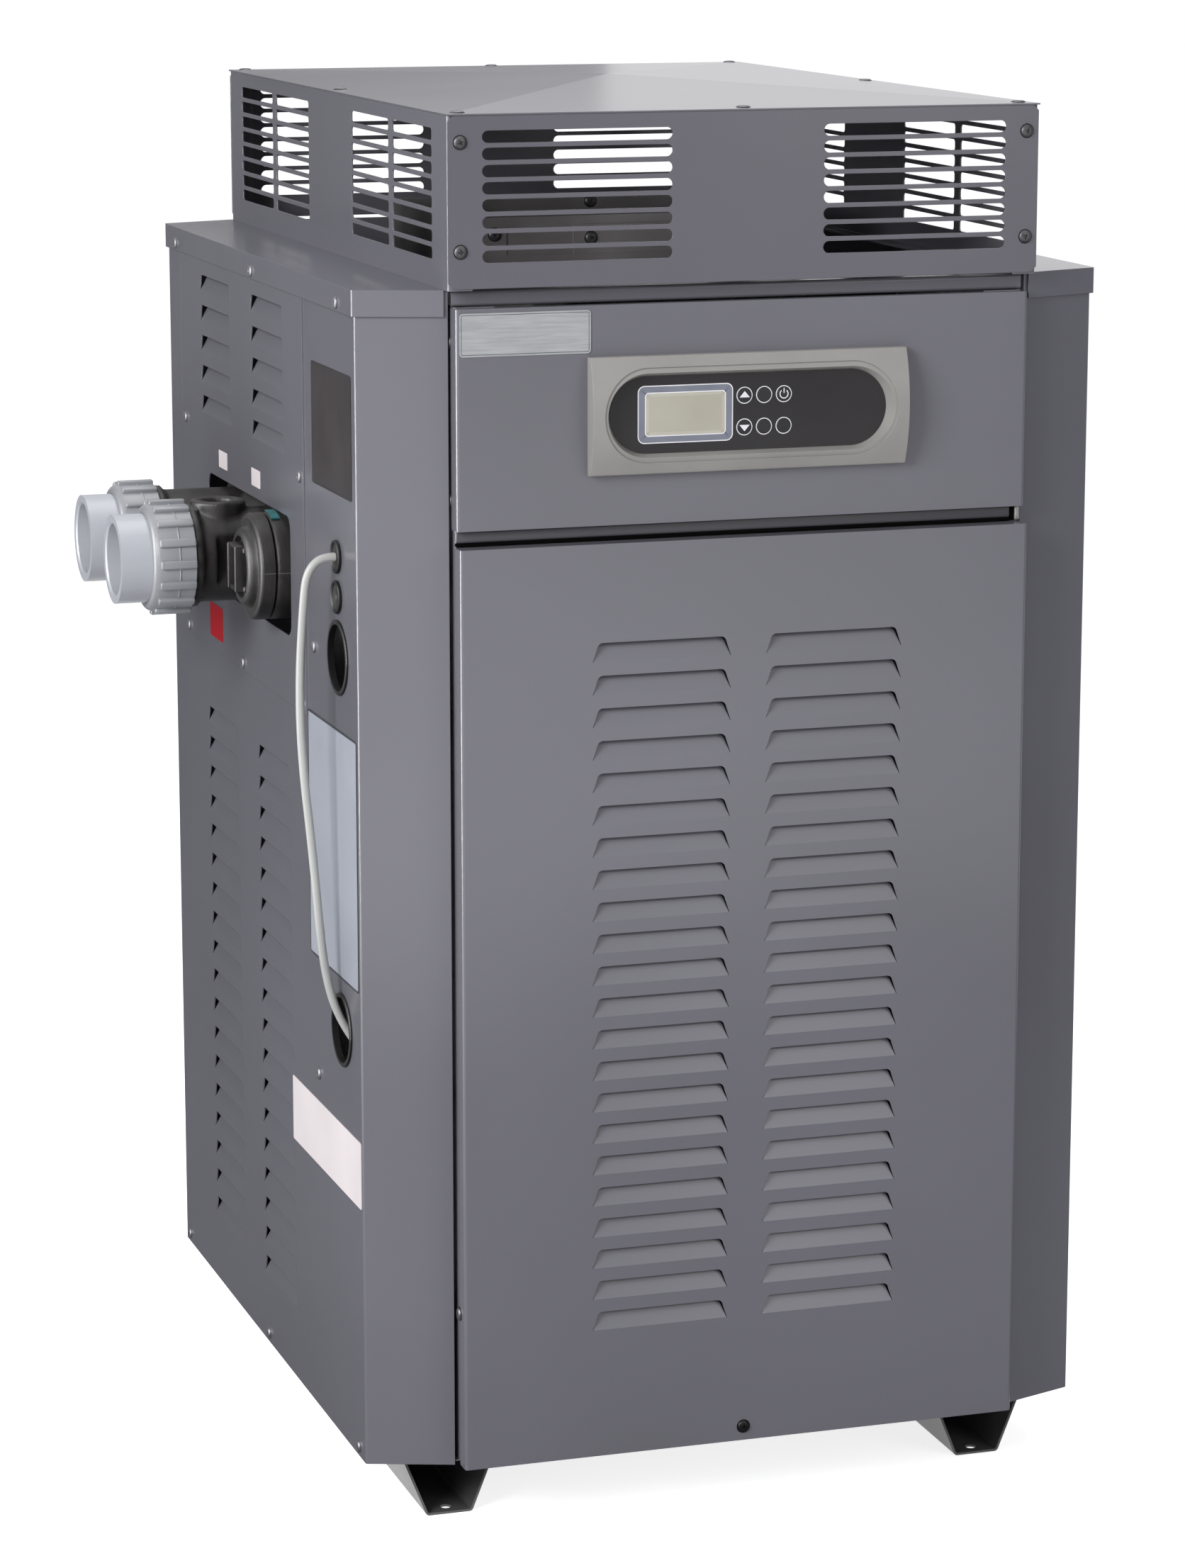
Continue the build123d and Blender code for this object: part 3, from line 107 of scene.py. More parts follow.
room = bpy.data.worlds.new("room")
bpy.context.scene.world = room
room.use_nodes = True
tree = room.node_tree
dim = tree.nodes["Background"]
dim.inputs["Color"].default_value = (0.93, 0.95, 1.0, 1)
dim.inputs["Strength"].default_value = 0.30
bright = tree.nodes.new("ShaderNodeBackground")
bright.inputs["Color"].default_value = (1, 1, 1, 1)
bright.inputs["Strength"].default_value = 1.0
choice = tree.nodes.new("ShaderNodeMixShader")
tree.links.new(seen_plainly(tree), choice.inputs["Fac"])
tree.links.new(dim.outputs["Background"], choice.inputs[1])
tree.links.new(bright.outputs["Background"], choice.inputs[2])
tree.links.new(choice.outputs["Shader"], tree.nodes["World Output"].inputs["Surface"])


# Lamps: a soft key at the left, a weak fill at the right and a broad one above. The tall
# strip at the left only shows in shiny faces, where it draws the folds as bright lines.
for name, place, size, power in (("key_lamp", (-2.6, -1.85, 2.0), 1.4, 94),
                                 ("fill_lamp", (2.6, -4.4, 2.0), 2.4, 48),
                                 ("top_lamp", (0.3, 0.6, 4.2), 2.4, 74)):
    lamp = bpy.data.lights.new(name, "AREA")
    lamp.size = size
    lamp.energy = power
    stand = bpy.data.objects.new(name, lamp)
    stand.location = place
    stand.rotation_euler = (Vector((0, 0, 0.6)) - Vector(place)).to_track_quat("-Z", "Y").to_euler()
    bpy.context.scene.collection.objects.link(stand)

strip = bpy.data.lights.new("edge_lamp", "AREA")
strip.shape = "RECTANGLE"
strip.size = 0.5
strip.size_y = 2.4
strip.energy = 150
edge_lamp = bpy.data.objects.new("edge_lamp", strip)
edge_lamp.location = (-2.6, 0.1, 1.2)
edge_lamp.rotation_euler = Vector((1, 0, 0)).to_track_quat("-Z", "Y").to_euler()
for sight in ("visible_camera", "visible_diffuse", "visible_transmission"):
    setattr(edge_lamp, sight, False)
bpy.context.scene.collection.objects.link(edge_lamp)


# Dark cards: grey cloth screens and mats that only the shiny faces see. They keep the left
# side, the hood and the foot of the door from mirroring the white room.
card_cloth = bpy.data.materials.new("card_cloth")
card_cloth.use_nodes = True
cloth = card_cloth.node_tree.nodes["Principled BSDF"]
cloth.inputs["Base Color"].default_value = (0.10, 0.10, 0.11, 1)
cloth.inputs["Roughness"].default_value = 0.9
cloth.inputs["Specular IOR Level"].default_value = 0.1
bm = bmesh.new()
for middle, width, height, facing in (((-1.15, 4.0, 1.5), 6.0, 3.0, "X"),
                                      ((-0.731, 3.4, 0.004), 0.838, 7.6, "Z"),
                                      ((1.7, -2.0, 1.2), 3.4, 2.4, "X"),
                                      ((1.05, -0.7, 0.004), 1.30, 3.4, "Z"),
                                      ((1.0, -6.2, 2.2), 7.0, 4.0, "Y"),
                                      ((-0.55, -1.2, 0.005), 1.90, 1.7, "Z"),
                                      ((0.3, 4.0, 1.45), 2.0, 0.5, "Y")):
    card = bmesh.ops.create_grid(bm, x_segments=1, y_segments=1, size=0.5)["verts"]
    bmesh.ops.scale(bm, verts=card, vec=(width, height, 1))
    if facing == "X":
        bmesh.ops.rotate(bm, verts=card, cent=(0, 0, 0), matrix=Matrix.Rotation(pi / 2, 3, "X"))
        bmesh.ops.rotate(bm, verts=card, cent=(0, 0, 0), matrix=Matrix.Rotation(pi / 2, 3, "Z"))
    elif facing == "Y":
        bmesh.ops.rotate(bm, verts=card, cent=(0, 0, 0), matrix=Matrix.Rotation(pi / 2, 3, "X"))
    bmesh.ops.translate(bm, verts=card, vec=middle)
dark_cards = new_piece("dark_cards", bm, card_cloth)
for sight in ("visible_camera", "visible_diffuse", "visible_shadow", "visible_transmission"):
    setattr(dark_cards, sight, False)


# Control cable: 7 mm round flex in a pale vinyl sheath. It leaves its grommet, hangs beside
# the left panel, goes back in through the lower entry and runs over to the gas valve.
def grained(name, dark, light, patch, gloss, grain, relief, metal=0.0, stretch=(1, 1, 1), shine=0.5,
            edge=0.0):
    """Finish that drifts between two screen colours in soft patches, with a fine grain in its relief."""
    material = bpy.data.materials.new(name)
    material.use_nodes = True
    tree = material.node_tree
    shader = tree.nodes["Principled BSDF"]
    shader.inputs["Metallic"].default_value = metal
    shader.inputs["Specular IOR Level"].default_value = shine
    place = tree.nodes.new("ShaderNodeTexCoord")
    placed = tree.nodes.new("ShaderNodeMapping")
    placed.inputs["Scale"].default_value = stretch
    tree.links.new(place.outputs["Object"], placed.inputs["Vector"])
    drift = tree.nodes.new("ShaderNodeTexNoise")
    drift.inputs["Scale"].default_value = patch
    drift.inputs["Detail"].default_value = 4
    tree.links.new(placed.outputs["Vector"], drift.inputs["Vector"])
    colour = tree.nodes.new("ShaderNodeValToRGB")
    colour.color_ramp.elements[0].position = 0.3
    colour.color_ramp.elements[0].color = (*screen_colour(*dark), 1)
    colour.color_ramp.elements[1].position = 0.7
    colour.color_ramp.elements[1].color = (*screen_colour(*light), 1)
    tree.links.new(drift.outputs["Fac"], colour.inputs["Fac"])
    tree.links.new(colour.outputs["Color"], shader.inputs["Base Color"])
    rough = tree.nodes.new("ShaderNodeMapRange")
    rough.inputs["To Min"].default_value = gloss[0]
    rough.inputs["To Max"].default_value = gloss[1]
    tree.links.new(drift.outputs["Fac"], rough.inputs["Value"])
    tree.links.new(rough.outputs["Result"], shader.inputs["Roughness"])
    speck = tree.nodes.new("ShaderNodeTexNoise")
    speck.inputs["Scale"].default_value = grain
    tree.links.new(placed.outputs["Vector"], speck.inputs["Vector"])
    bump = tree.nodes.new("ShaderNodeBump")
    bump.inputs["Distance"].default_value = relief
    tree.links.new(speck.outputs["Fac"], bump.inputs["Height"])
    tree.links.new(bump.outputs["Normal"], shader.inputs["Normal"])
    if edge:
        rounding = tree.nodes.new("ShaderNodeBevel")
        rounding.samples = 4
        rounding.inputs["Radius"].default_value = edge
        tree.links.new(rounding.outputs["Normal"], bump.inputs["Normal"])
    return material


cable_vinyl = grained("cable_vinyl", (162, 163, 161), (177, 178, 175), patch=9, gloss=(0.42, 0.52),
                      grain=900, relief=0.00005)
cable_thick = 0.007
cable_route = [(-0.313, -0.268, 0.799), (-0.323, -0.268, 0.799), (-0.332, -0.2682, 0.793),
               (-0.3373, -0.2684, 0.7825), (-0.3392, -0.2685, 0.767), (-0.3412, -0.2686, 0.742),
               (-0.3434, -0.2688, 0.708), (-0.3438, -0.2691, 0.666), (-0.3413, -0.2693, 0.622),
               (-0.3368, -0.2695, 0.578), (-0.333, -0.2698, 0.536), (-0.330, -0.270, 0.497),
               (-0.326, -0.2701, 0.461), (-0.3185, -0.2702, 0.4295), (-0.302, -0.2705, 0.399),
               (-0.275, -0.271, 0.3655), (-0.235, -0.272, 0.3215), (-0.195, -0.273, 0.2885),
               (-0.155, -0.2745, 0.2635), (-0.115, -0.2757, 0.2465), (-0.077, -0.276, 0.2355),
               (-0.045, -0.276, 0.2355)]
flex = bpy.data.curves.new("control_cable", "CURVE")
flex.dimensions = "3D"
flex.bevel_depth = cable_thick / 2
flex.bevel_resolution = 7
flex.resolution_u = 10
flex.use_fill_caps = True
run = flex.splines.new("NURBS")
run.points.add(len(cable_route) - 1)
for point, place in zip(run.points, cable_route):
    point.co = (*place, 1)
run.order_u = 3
run.use_endpoint_u = True
flex.materials.append(cable_vinyl)
control_cable = bpy.data.objects.new("control_cable", flex)
bpy.context.scene.collection.objects.link(control_cable)
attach(control_cable, "cabinet")
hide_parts("valve_cable")


# Foot rails: two open channels folded from 2 mm steel, with sloping sides and a flange along
# each edge that is spot welded under the base pan. They have the cabinet's grey powder coat.
def dress(material, *names):
    """Puts a finish on CAD nodes in place of their plain one."""
    for name in names:
        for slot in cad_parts[name].material_slots:
            slot.material = material


cabinet_grey = grained("cabinet_grey", (106, 105, 112), (111, 110, 118), patch=3.2, gloss=(0.18, 0.23),
                       grain=700, relief=0.000006, edge=0.0008)
rail_grey = grained("rail_grey", (84, 83, 84), (98, 97, 98), patch=14, gloss=(0.3, 0.4), grain=500,
                    relief=0.00003)
dress(rail_grey, "left_foot_rail", "right_foot_rail")


# Base pan: the cabinet's floor, an eight-sided steel sheet with an edge turned up along each
# side for the side panels. It is coated with them, in the same grey.
dress(cabinet_grey, "base_pan")


# Firebox jacket: a zinc-coated sheet shaft that stands on the base pan and carries the
# tube sheets. The burner tray's holed front closes its opening.
def zinc_coated(name, dark, light, crystal, gloss):
    """Galvanised sheet: flat crystals that each catch the light in their own way."""
    material = grained(name, dark, light, patch=30, gloss=gloss, grain=300, relief=0.00001, metal=0.85,
                       edge=0.0005)
    tree = material.node_tree
    shader = tree.nodes["Principled BSDF"]
    place = tree.nodes["Texture Coordinate"]
    cells = tree.nodes.new("ShaderNodeTexVoronoi")
    cells.inputs["Scale"].default_value = crystal
    tree.links.new(place.outputs["Object"], cells.inputs["Vector"])
    parts = tree.nodes.new("ShaderNodeSeparateColor")
    tree.links.new(cells.outputs["Color"], parts.inputs["Color"])
    tree.links.new(parts.outputs["Red"], tree.nodes["Color Ramp"].inputs["Fac"])
    rough = tree.nodes["Map Range"]
    tree.links.new(parts.outputs["Green"], rough.inputs["Value"])
    return material


zinc_sheet = zinc_coated("zinc_sheet", (146, 147, 148), (160, 161, 162), crystal=260, gloss=(0.30, 0.42))
dress(zinc_sheet, "firebox_jacket")


# Refractory lining: four boards of pressed ceramic fibre, cut to size and wedged against
# the jacket above the burners. The surface is chalky, with short fibres pressed flat.
fibre_board = grained("fibre_board", (206, 202, 190), (226, 223, 213), patch=16, gloss=(0.88, 0.96),
                      grain=260, relief=0.0006, stretch=(1, 1, 0.35))
dress(fibre_board, "refractory_boards")


# Burner tray: folded aluminised steel, pushed in from the front, with the tube burners
# resting in it. Each burner is a pressed steel tube with a slotted flame ribbon on top.
burner_steel = grained("burner_steel", (118, 112, 104), (150, 144, 136), patch=22, gloss=(0.36, 0.55),
                       grain=420, relief=0.00005, metal=0.8)
tray_steel = zinc_coated("tray_steel", (132, 132, 132), (146, 146, 145), crystal=320, gloss=(0.34, 0.46))
dress(tray_steel, "burner_tray")
dress(burner_steel, "burners")


# Gas train: black iron pipe for the manifold and the inlet stub, with cast fittings. The
# pipe is oiled, so its mill scale looks dark and a little wet.
pipe_black = grained("pipe_black", (52, 51, 51), (74, 72, 70), patch=45, gloss=(0.4, 0.62), grain=380,
                     relief=0.00012, metal=0.35)
dress(pipe_black, "gas_manifold", "gas_inlet_pipe")


# Gas valve: a die-cast aluminium block with its regulator tower, blasted to a matt skin,
# and a moulded plastic knob with a pointer bar on a steel stem.
valve_alloy = grained("valve_alloy", (158, 160, 162), (178, 180, 182), patch=35, gloss=(0.42, 0.55),
                      grain=650, relief=0.00008, metal=0.7)
knob_plastic = grained("knob_plastic", (24, 24, 27), (36, 36, 40), patch=60, gloss=(0.4, 0.5), grain=900,
                       relief=0.00003)
dress(valve_alloy, "gas_valve")
dress(knob_plastic, "gas_valve_knob")


# Pilot: a small steel bracket on the tray's front with the pilot tube and the spark rod,
# whose heat has turned the metal straw brown.
pilot_steel = grained("pilot_steel", (120, 108, 92), (168, 160, 148), patch=70, gloss=(0.3, 0.5),
                      grain=500, relief=0.00004, metal=0.85)
dress(pilot_steel, "pilot_assembly")


# Heat exchanger: six copper tubes with rolled fins, expanded into two steel tube sheets.
# The fins are drawn up from the tube's own wall, so tube and fins are one copper.
copper = grained("copper", (168, 96, 66), (198, 124, 90), patch=26, gloss=(0.26, 0.42), grain=500,
                 relief=0.00003, metal=1.0)
plate_steel = grained("plate_steel", (88, 86, 84), (112, 110, 107), patch=30, gloss=(0.4, 0.6), grain=320,
                      relief=0.00006, metal=0.6)
dress(plate_steel, "tube_sheets")
dress(copper, "finned_tubes")


# Headers: two cast water boxes in glass-filled black polymer, bolted over the tube sheets.
# The left one has two threaded necks, a relief port on top and a round drum in front.
weld_gap = 0.000002


def merged_copy(node):
    """Bmesh of a CAD node with its loose triangles joined; the node itself is left alone."""
    bm = bmesh.new()
    bm.from_mesh(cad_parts[node].data)
    for layer in list(bm.loops.layers.uv):
        bm.loops.layers.uv.remove(layer)
    bmesh.ops.remove_doubles(bm, verts=bm.verts, dist=weld_gap)
    return bm


def smooth_shaded(piece, angle=32):
    """Round faces shaded smooth, with an edge kept wherever two faces meet more sharply."""
    for face in piece.data.polygons:
        face.use_smooth = True
    piece.data.set_sharp_from_angle(angle=radians(angle))


header_black = grained("header_black", (23, 21, 21), (42, 39, 38), patch=46, gloss=(0.40, 0.58), grain=420,
                       relief=0.00014, shine=0.42, stretch=(2.5, 1, 1))
dress(header_black, "return_header")
bm = merged_copy("inlet_outlet_header")
header_casting = new_piece("header_casting", bm, header_black)
skin = header_casting.modifiers.new("skin", "REMESH")
skin.mode = "VOXEL"
skin.voxel_size = 0.0016
skin.use_smooth_shade = True
blend = header_casting.modifiers.new("blend", "SMOOTH")
blend.factor = 0.5
blend.iterations = 9
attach(header_casting, "cabinet")
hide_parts("inlet_outlet_header")


# Header bolts: zinc plated hexagon heads round both flanges. They pull each header
# against its tube sheet.
bolt_zinc = grained("bolt_zinc", (140, 140, 136), (176, 176, 170), patch=90, gloss=(0.28, 0.42), grain=600,
                    relief=0.00003, metal=0.9)
dress(bolt_zinc, "header_bolts")


# Limit switches: two snap-disc thermostats pressed on to the header's top, with a bright
# cup and a brown moulded body.
switch_brown = grained("switch_brown", (58, 44, 36), (78, 60, 50), patch=80, gloss=(0.35, 0.5), grain=700,
                       relief=0.00003)
dress(switch_brown, "limit_switches")


# Header cap: the drum's round cover, moulded in the header's polymer. A raised rim and a
# ring run round it, and a grip of two bars with four small lugs stands on its middle.
header_z = 0.763
cap_y = -0.072
cap_faces = [(-0.3236, 0.0), (-0.3236, 0.0436), (-0.3244, 0.0449), (-0.3336, 0.0449),
             (-0.3352, 0.0444), (-0.3364, 0.0430), (-0.3370, 0.0410), (-0.3370, 0.0404),
             (-0.3366, 0.0398), (-0.3366, 0.0346), (-0.3372, 0.0340), (-0.3398, 0.0336),
             (-0.3424, 0.0322), (-0.3441, 0.0302), (-0.3448, 0.0282), (-0.3448, 0.0266),
             (-0.3442, 0.0258), (-0.3402, 0.0252), (-0.3396, 0.0246), (-0.3396, 0.0)]


def lathe(outline, y, z, steps):
    """New bmesh of a form turned about a line along X, with its faces outwards."""
    bm = bmesh.new()
    points = [bm.verts.new((x, 0, radius)) for x, radius in outline]
    edges = [bm.edges.new(pair) for pair in zip(points, points[1:])]
    bmesh.ops.spin(bm, geom=points + edges, cent=(0, 0, 0), axis=(1, 0, 0), angle=2 * pi, steps=steps,
                   use_merge=True)
    bmesh.ops.remove_doubles(bm, verts=bm.verts, dist=weld_gap)
    bmesh.ops.translate(bm, verts=bm.verts, vec=(0, y, z))
    bmesh.ops.recalc_face_normals(bm, faces=bm.faces)
    return bm


def soft_block(bm, middle, size, round_off, turn=None, segments=3):
    """Adds a block with rounded edges to a bmesh, and turns it by a matrix once it is placed."""
    before = set(bm.verts)
    corners = bmesh.ops.create_cube(bm, size=1)["verts"]
    bmesh.ops.scale(bm, verts=corners, vec=size)
    edges = list({edge for vert in corners for edge in vert.link_edges})
    bmesh.ops.bevel(bm, geom=edges, offset=round_off, affect="EDGES", segments=segments, profile=0.5,
                    material=-1)
    whole = [vert for vert in bm.verts if vert not in before]
    bmesh.ops.translate(bm, verts=whole, vec=middle)
    if turn is not None:
        bmesh.ops.transform(bm, verts=whole, matrix=turn)


bm = lathe(cap_faces, cap_y, header_z, steps=72)
for side in (-1, 1):
    soft_block(bm, (-0.3453, cap_y + side * 0.0125, header_z), (0.0134, 0.0042, 0.0390), 0.0012)
    soft_block(bm, (-0.3443, cap_y, header_z + side * 0.0176), (0.0114, 0.0230, 0.0040), 0.0012)
    soft_block(bm, (-0.3448, cap_y, header_z + side * 0.0120), (0.0070, 0.0030, 0.0110), 0.0010)
    for level in (-1, 1):
        lug = (-0.3440, cap_y + side * 0.0195, header_z + level * 0.0162)
        soft_block(bm, lug, (0.0050, 0.0060, 0.0050), 0.0016)
header_cover = new_piece("header_cover", bm, header_black)
smooth_shaded(header_cover, 40)
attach(header_cover, "cabinet")
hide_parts("header_cap")


# Parting line and gasket: the mould's joint shows as a fine raised line along the front of
# the cap and the drum, coloured light grey as a painted highlight on its ridge, and a lip of the teal rubber
# gasket shows above, by the opening.
# Light grey of the parting line: a painted highlight along the ridge.
mould_line_highlight = grained("mould_line_highlight", (84, 82, 80), (112, 109, 106), patch=160, gloss=(0.5, 0.6), grain=700,
                     relief=0.00005)
gasket_teal = grained("gasket_teal", (18, 84, 88), (34, 104, 106), patch=120, gloss=(0.45, 0.6), grain=700,
                      relief=0.00008)
bm = bmesh.new()
for line_x, line_y in ((-0.3302, cap_y - 0.0449), (-0.3165, cap_y - 0.0450)):
    soft_block(bm, (line_x, line_y, header_z - 0.0001), (0.0120, 0.0006, 0.0005), 0.0001, segments=1)
mould_line = new_piece("mould_line", bm, mould_line_highlight)
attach(mould_line, "cabinet")
bm = bmesh.new()
lip_r = 0.0455
lip_start = radians(84)
lip = [bm.verts.new((x, lip_r * cos(lip_start), lip_r * sin(lip_start)))
       for x in (-0.3212, -0.3190, -0.3165, -0.3140)]
joints = [bm.edges.new(pair) for pair in zip(lip, lip[1:])]
bmesh.ops.spin(bm, geom=lip + joints, cent=(0, 0, 0), axis=(1, 0, 0), angle=radians(30), steps=10)
bmesh.ops.solidify(bm, geom=list(bm.faces), thickness=0.0012)
bmesh.ops.translate(bm, verts=bm.verts, vec=(0, cap_y, header_z))
bmesh.ops.recalc_face_normals(bm, faces=bm.faces)
gasket_lip = new_piece("gasket_lip", bm, gasket_teal)
smooth_shaded(gasket_lip)
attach(gasket_lip, "cabinet")


# Unions: thin grey vinyl tailpieces for the pool pipes, each with a collar that the ribbed
# nut pulls against a black rubber ring. The nuts run freely on their tailpieces.
union_grey = grained("union_grey", (136, 138, 142), (148, 150, 154), patch=12, gloss=(0.36, 0.44),
                     grain=260, relief=0.00004)
# The tailpieces are coloured lighter than the nuts of the same vinyl: painted light where the lamp at the
# front left falls on them.
tail_lit_grey = grained("tail_lit_grey", (168, 171, 177), (181, 184, 190), patch=12, gloss=(0.36, 0.44), grain=260,
                    relief=0.00002)
seal_black = grained("seal_black", (22, 22, 22), (34, 34, 34), patch=70, gloss=(0.6, 0.75), grain=700,
                     relief=0.00005)
dress(tail_lit_grey, "union_tailpieces")
dress(seal_black, "union_seals")

nut_faces = [(-0.4106, 0.0380), (-0.4110, 0.0390), (-0.4110, 0.0408), (-0.4105, 0.0424),
             (-0.4094, 0.0437), (-0.4080, 0.0446), (-0.4066, 0.0451), (-0.4056, 0.0456),
             (-0.3894, 0.0456), (-0.3890, 0.0462), (-0.3882, 0.0462), (-0.3878, 0.0456),
             (-0.3749, 0.0456), (-0.3743, 0.0450), (-0.3743, 0.0415), (-0.4073, 0.0415),
             (-0.4073, 0.0378), (-0.4102, 0.0378), (-0.4106, 0.0380)]
nut_ribs = 16
for name, node, body, nut_y in (("near_nut", "outlet_union_nut", "outlet_nut", 0.0),
                                ("far_nut", "inlet_union_nut", "inlet_nut", 0.124)):
    bm = lathe(nut_faces, 0, 0, steps=96)
    for number in range(nut_ribs):
        turn = Matrix.Rotation(2 * pi * number / nut_ribs, 4, "X")
        soft_block(bm, (-0.3902, 0, 0.0466), (0.0312, 0.0070, 0.0048), 0.0014, turn)
    bmesh.ops.translate(bm, verts=bm.verts, vec=(0, nut_y, header_z))
    nut = new_piece(name, bm, union_grey)
    smooth_shaded(nut, 40)
    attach(nut, body)
    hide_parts(node)


# Flue box: zinc-coated sheet folded over the tubes, narrowing to the collar inside the hood.
# Its front is lapped from three sheets, held by pan screws that show through the slots.
flue_sheet = grained("flue_sheet", (138, 134, 135), (156, 152, 152), patch=18, gloss=(0.26, 0.36),
                     grain=260, relief=0.00001, metal=0.55, edge=0.0005)
dress(flue_sheet, "flue_box")
bm = bmesh.new()
for middle, width, height in (((0.0475, -0.0805, 1.0150), 0.2040, 0.0540),
                              ((-0.1310, -0.0805, 1.0150), 0.0370, 0.0540),
                              ((0, -0.0815, 1.0028), 0.2990, 0.0290)):
    soft_block(bm, middle, (width, 0.0010, height), 0.0003, segments=1)
flue_laps = new_piece("flue_laps", bm, flue_sheet)
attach(flue_laps, "cabinet")


# Front frame: two folded posts, a rail across the top and one above the door, in the
# cabinet's powder coat. The lower rail has a rolled nose, coloured darker as painted shade, over a
# near-black strip of painted shade in the gap above the door, and the door's zinc plated hook shows at its
# right end.
dress(cabinet_grey, "left_post", "right_post", "mid_rail", "front_top_rail")

bm = bmesh.new()
soft_block(bm, (-0.0045, -0.3568, 0.8238), (0.4690, 0.0036, 0.0096), 0.0017, segments=4)
# The nose's colour is a darker copy of the cabinet's coat: painted shade under the control panel's edge.
nose_shaded_grey = grained("nose_shaded_grey", (72, 71, 76), (78, 77, 82), patch=3.2, gloss=(0.3, 0.4), grain=700,
                    relief=0.000006)
rail_nose = new_piece("rail_nose", bm, nose_shaded_grey)
smooth_shaded(rail_nose)
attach(rail_nose, "cabinet")
# A near-black strip along the gap above the door, and a short one beside the hook: painted shade where the
# rail's nose hides the light.
gap_shade_black = grained("gap_shade_black", (3, 3, 4), (8, 8, 9), patch=90, gloss=(0.8, 0.9), grain=600,
                    relief=0.0002, shine=0.05)
bm = bmesh.new()
soft_block(bm, (-0.0045, -0.3567, 0.8176), (0.4690, 0.0034, 0.0030), 0.0006)
soft_block(bm, (0.2322, -0.3562, 0.8224), (0.0036, 0.0024, 0.0124), 0.0006)
gap_shade_strip = new_piece("gap_shade_strip", bm, gap_shade_black)
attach(gap_shade_strip, "cabinet")
hook_zinc = grained("hook_zinc", (150, 149, 147), (172, 171, 169), patch=90, gloss=(0.3, 0.42), grain=700,
                    relief=0.00003, metal=0.7)
bm = bmesh.new()
soft_block(bm, (0.2366, -0.3566, 0.8224), (0.0046, 0.0032, 0.0122), 0.0014)
door_hook = new_piece("door_hook", bm, hook_zinc)
smooth_shaded(door_hook)
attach(door_hook, "cabinet")


# Side and rear panels: 1.2 mm sheet with louvres pressed inwards and folded corners,
# powder coated grey, and screwed to the base pan.
dress(cabinet_grey, "left_side_panel", "right_side_panel", "rear_panel")


# Header access panel: a flat coated sheet screwed over the left panel's cut-away. It is
# open round the header's two necks and its drum.
dress(cabinet_grey, "header_access_panel")


# Lids: folded sheet trays over the two side boxes, coated grey. A skirt round the outer
# sides takes their screws.
dress(cabinet_grey, "left_lid", "right_lid")


# Draught hood: four slotted walls and a top sheet folded from corner to corner, which
# lets rain run off. Screwed together, and coated like the cabinet; the front and rear walls take a darker
# copy of the coat as painted shade.
# Front and rear walls: the cabinet's coat made darker, painted shade.
hood_shaded_grey = grained("hood_shaded_grey", (98, 96, 103), (103, 101, 109), patch=3.2, gloss=(0.18, 0.23), grain=700,
                    relief=0.000006, edge=0.0008)
dress(hood_shaded_grey, "hood_front", "hood_rear")
dress(cabinet_grey, "hood_left", "hood_right", "hood_top")


# Screws: pan heads with a cross recess, low ones on the hood's top. Each is one turned
# head with the cross sunk into it, copied to its hole and turned as a hand leaves it.
def pan_head(radius, height):
    """Mesh of one pan head that looks along +Z, with a tapered cross recess."""
    bm = bmesh.new()
    rim = ((0, 0), (1, 0), (1, 0.25), (0.93, 0.55), (0.78, 0.84), (0.5, 0.98), (0, 1))
    points = [bm.verts.new((radius * out, 0, height * up)) for out, up in rim]
    edges = [bm.edges.new(pair) for pair in zip(points, points[1:])]
    bmesh.ops.spin(bm, geom=points + edges, cent=(0, 0, 0), axis=(0, 0, 1), angle=2 * pi, steps=24,
                   use_merge=True)
    bmesh.ops.remove_doubles(bm, verts=bm.verts, dist=weld_gap)
    bmesh.ops.recalc_face_normals(bm, faces=bm.faces)
    head = new_piece("head", bm)
    bm = bmesh.new()
    for turn in (0, pi / 2):
        arm = bmesh.ops.create_cube(bm, size=1)["verts"]
        bmesh.ops.scale(bm, verts=arm, vec=(radius * 1.16, radius * 0.24, height * 1.3))
        foot = [vert for vert in arm if vert.co.z < 0]
        bmesh.ops.scale(bm, verts=foot, vec=(0.45, 0.6, 1))
        bmesh.ops.rotate(bm, verts=arm, cent=(0, 0, 0), matrix=Matrix.Rotation(turn, 3, "Z"))
        bmesh.ops.translate(bm, verts=arm, vec=(0, 0, height))
    cross = new_piece("cross", bm)
    sink = head.modifiers.new("sink", "BOOLEAN")
    sink.object = cross
    sink.use_self = True
    mesh = bpy.data.meshes.new_from_object(head.evaluated_get(bpy.context.evaluated_depsgraph_get()))
    bpy.data.objects.remove(head)
    bpy.data.objects.remove(cross)
    return mesh


